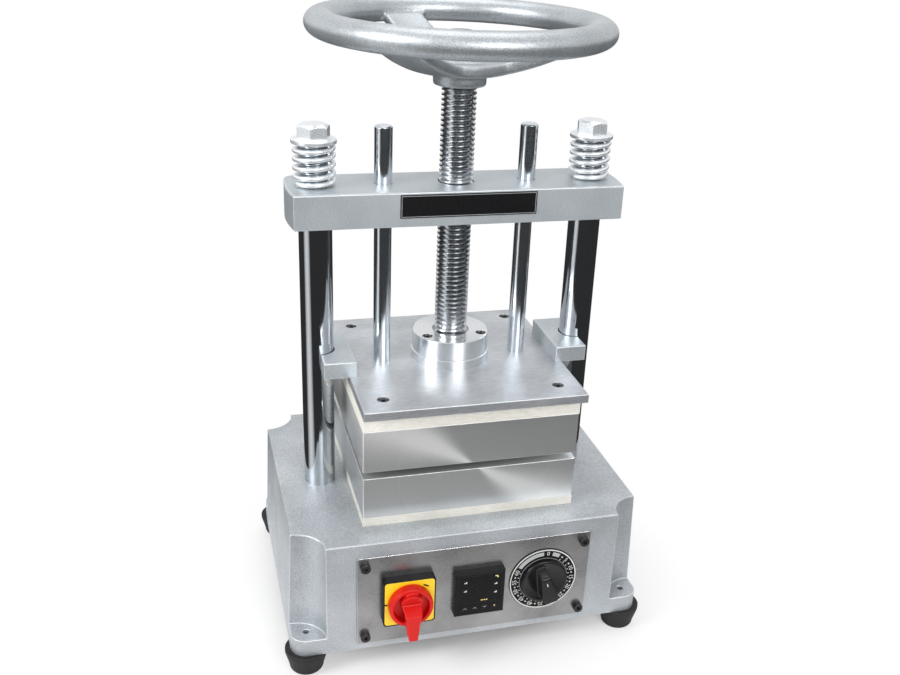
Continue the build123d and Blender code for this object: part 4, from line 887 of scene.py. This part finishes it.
# %% A line round the label
label_low, label_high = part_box("beam_label")
label_centre = (label_low + label_high) / 2
LINE_INSET = 1.2 * MM
LINE_WIDTH = 0.35 * MM
half_width = (label_high.x - label_low.x) / 2 - LINE_INSET
half_height = (label_high.z - label_low.z) / 2 - LINE_INSET
border = []
for side in (-1, 1):
    border.append(stroke(label_centre.x, label_centre.z + side * half_height, label_low.y,
                         2 * half_width + LINE_WIDTH, LINE_WIDTH, 90))
    border.append(stroke(label_centre.x + side * half_width, label_centre.z, label_low.y,
                         2 * half_height - LINE_WIDTH, LINE_WIDTH))
hand_over(join("label_line", border), grey_print, "beam", "black_label", angle=30)

# %% The pointer of the timer
knob_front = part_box("timer_knob")[0].y
KNOB_CLOCK = -16.0
POINTER_R = 5 * MM
POINTER = (3.5 * MM, 0.8 * MM)
x, z = polar(dial_centre, POINTER_R, KNOB_CLOCK)
pointer = stroke(x, z, knob_front - 0.02 * MM, *POINTER, KNOB_CLOCK)
pointer.name = "timer_pointer"
hand_over(pointer, pale_print, "timer_setting", "black_plastic", angle=30)

# %% [markdown]
# ## The floor, the light and the background
# The photograph is lit softly from the left and from above on a white ground. A large pale
# floor takes the shadow near the press and turns plain white further out for the camera. In a
# mirror the far floor is dark with one bright streak on the left, as in a room with a single
# window: that gives polished bars their black and white stripes. Three soft lamps stand to the
# left, in front and above, and the rest of the world is a grey fill.

# %% The floor
clear_selection()
bpy.ops.mesh.primitive_plane_add(size=24.0, location=(0, 0, 0))
floor = bpy.context.object
floor.name = "floor"
floor_paint = bpy.data.materials.new("floor_paint")
floor_paint.use_nodes = True
tree = floor_paint.node_tree
floor_shader = tree.nodes["Principled BSDF"]
floor_shader.inputs["Base Color"].default_value = (0.93, 0.93, 0.93, 1)
floor_shader.inputs["Roughness"].default_value = 0.9
floor_shader.inputs["Specular IOR Level"].default_value = 0.1
WHITE = (1, 1, 1, 1)
SHADOW_FADES = (0.12, 0.27)
MIRROR_STARTS = (0.23, 0.40)
STREAK_BEARING = math.radians(197)
STREAK_EDGE = 0.93
STREAK_STRENGTH = (0.04, 0.95)
floor_spot = place(tree, "TexCoord").outputs["Object"]
reach = place(tree, "VectorMath", {"operation": "LENGTH"}, _0=floor_spot).outputs["Value"]
floor_parts = place(tree, "SeparateXYZ", None, Vector=floor_spot)
bearing = math_node(tree, "ARCTAN2", floor_parts.outputs[1], floor_parts.outputs[0])
streak = math_node(tree, "COSINE", math_node(tree, "ADD", bearing, -STREAK_BEARING))
mirrored = place(tree, "Emission", None, Color=WHITE,
                 Strength=spread(tree, streak, STREAK_EDGE, 1.0, *STREAK_STRENGTH))
white = place(tree, "Emission", None, Color=WHITE, Strength=1.0)
floor_rays = place(tree, "LightPath").outputs
far_glossy = math_node(tree, "MULTIPLY", spread(tree, reach, *MIRROR_STARTS),
                       floor_rays["Is Glossy Ray"])
far_seen = math_node(tree, "MULTIPLY", spread(tree, reach, *SHADOW_FADES),
                     floor_rays["Is Camera Ray"])
with_mirror = place(tree, "MixShader", None, Fac=far_glossy,
                    _1=floor_shader.outputs[0], _2=mirrored.outputs[0])
with_white = place(tree, "MixShader", None, Fac=far_seen,
                   _1=with_mirror.outputs[0], _2=white.outputs[0])
tree.links.new(with_white.outputs[0], tree.nodes["Material Output"].inputs["Surface"])
floor.data.materials.append(floor_paint)
print("floor %.0f m wide" % floor.dimensions.x)

# %% Lamps
PRESS_MIDDLE = Vector((0, 0, 0.25))


def soft_lamp(name, spot, size, watts):
    """A square lamp that looks at the middle of the press."""
    bpy.ops.object.light_add(type="AREA", location=spot)
    lamp = bpy.context.object
    lamp.name = name
    lamp.data.size = size
    lamp.data.energy = watts
    aim = PRESS_MIDDLE - lamp.location
    lamp.rotation_euler = aim.to_track_quat("-Z", "Y").to_euler()
    print(name, watts, "W")


soft_lamp("lamp_left", (-1.9, -0.7, 1.5), 1.0, 34)
soft_lamp("lamp_front", (0.5, -2.3, 1.4), 1.2, 28)
soft_lamp("lamp_top", (0.2, 0.6, 2.4), 1.4, 12)

# %% World and background
FILL_STRENGTH = 0.55
SHARE_IN_MIRRORS = 0.7
world = bpy.data.worlds.new("white_ground")
bpy.context.scene.world = world
world.use_nodes = True
tree = world.node_tree
fill = tree.nodes["Background"]
fill.inputs["Color"].default_value = WHITE
fill.inputs["Strength"].default_value = FILL_STRENGTH
ground = place(tree, "Background", None, Color=WHITE, Strength=1.0)
rays = place(tree, "LightPath").outputs
seen_through = math_node(tree, "MAXIMUM", rays["Is Camera Ray"], rays["Is Transmission Ray"])
seen_mirrored = math_node(tree, "MULTIPLY", rays["Is Glossy Ray"], SHARE_IN_MIRRORS)
seen = math_node(tree, "MAXIMUM", seen_through, seen_mirrored)
shown = place(tree, "MixShader", None, Fac=seen, _1=fill.outputs[0], _2=ground.outputs[0])
tree.links.new(shown.outputs[0], tree.nodes["World Output"].inputs["Surface"])
bpy.context.scene.view_settings.view_transform = "Standard"
print("world", world.name)
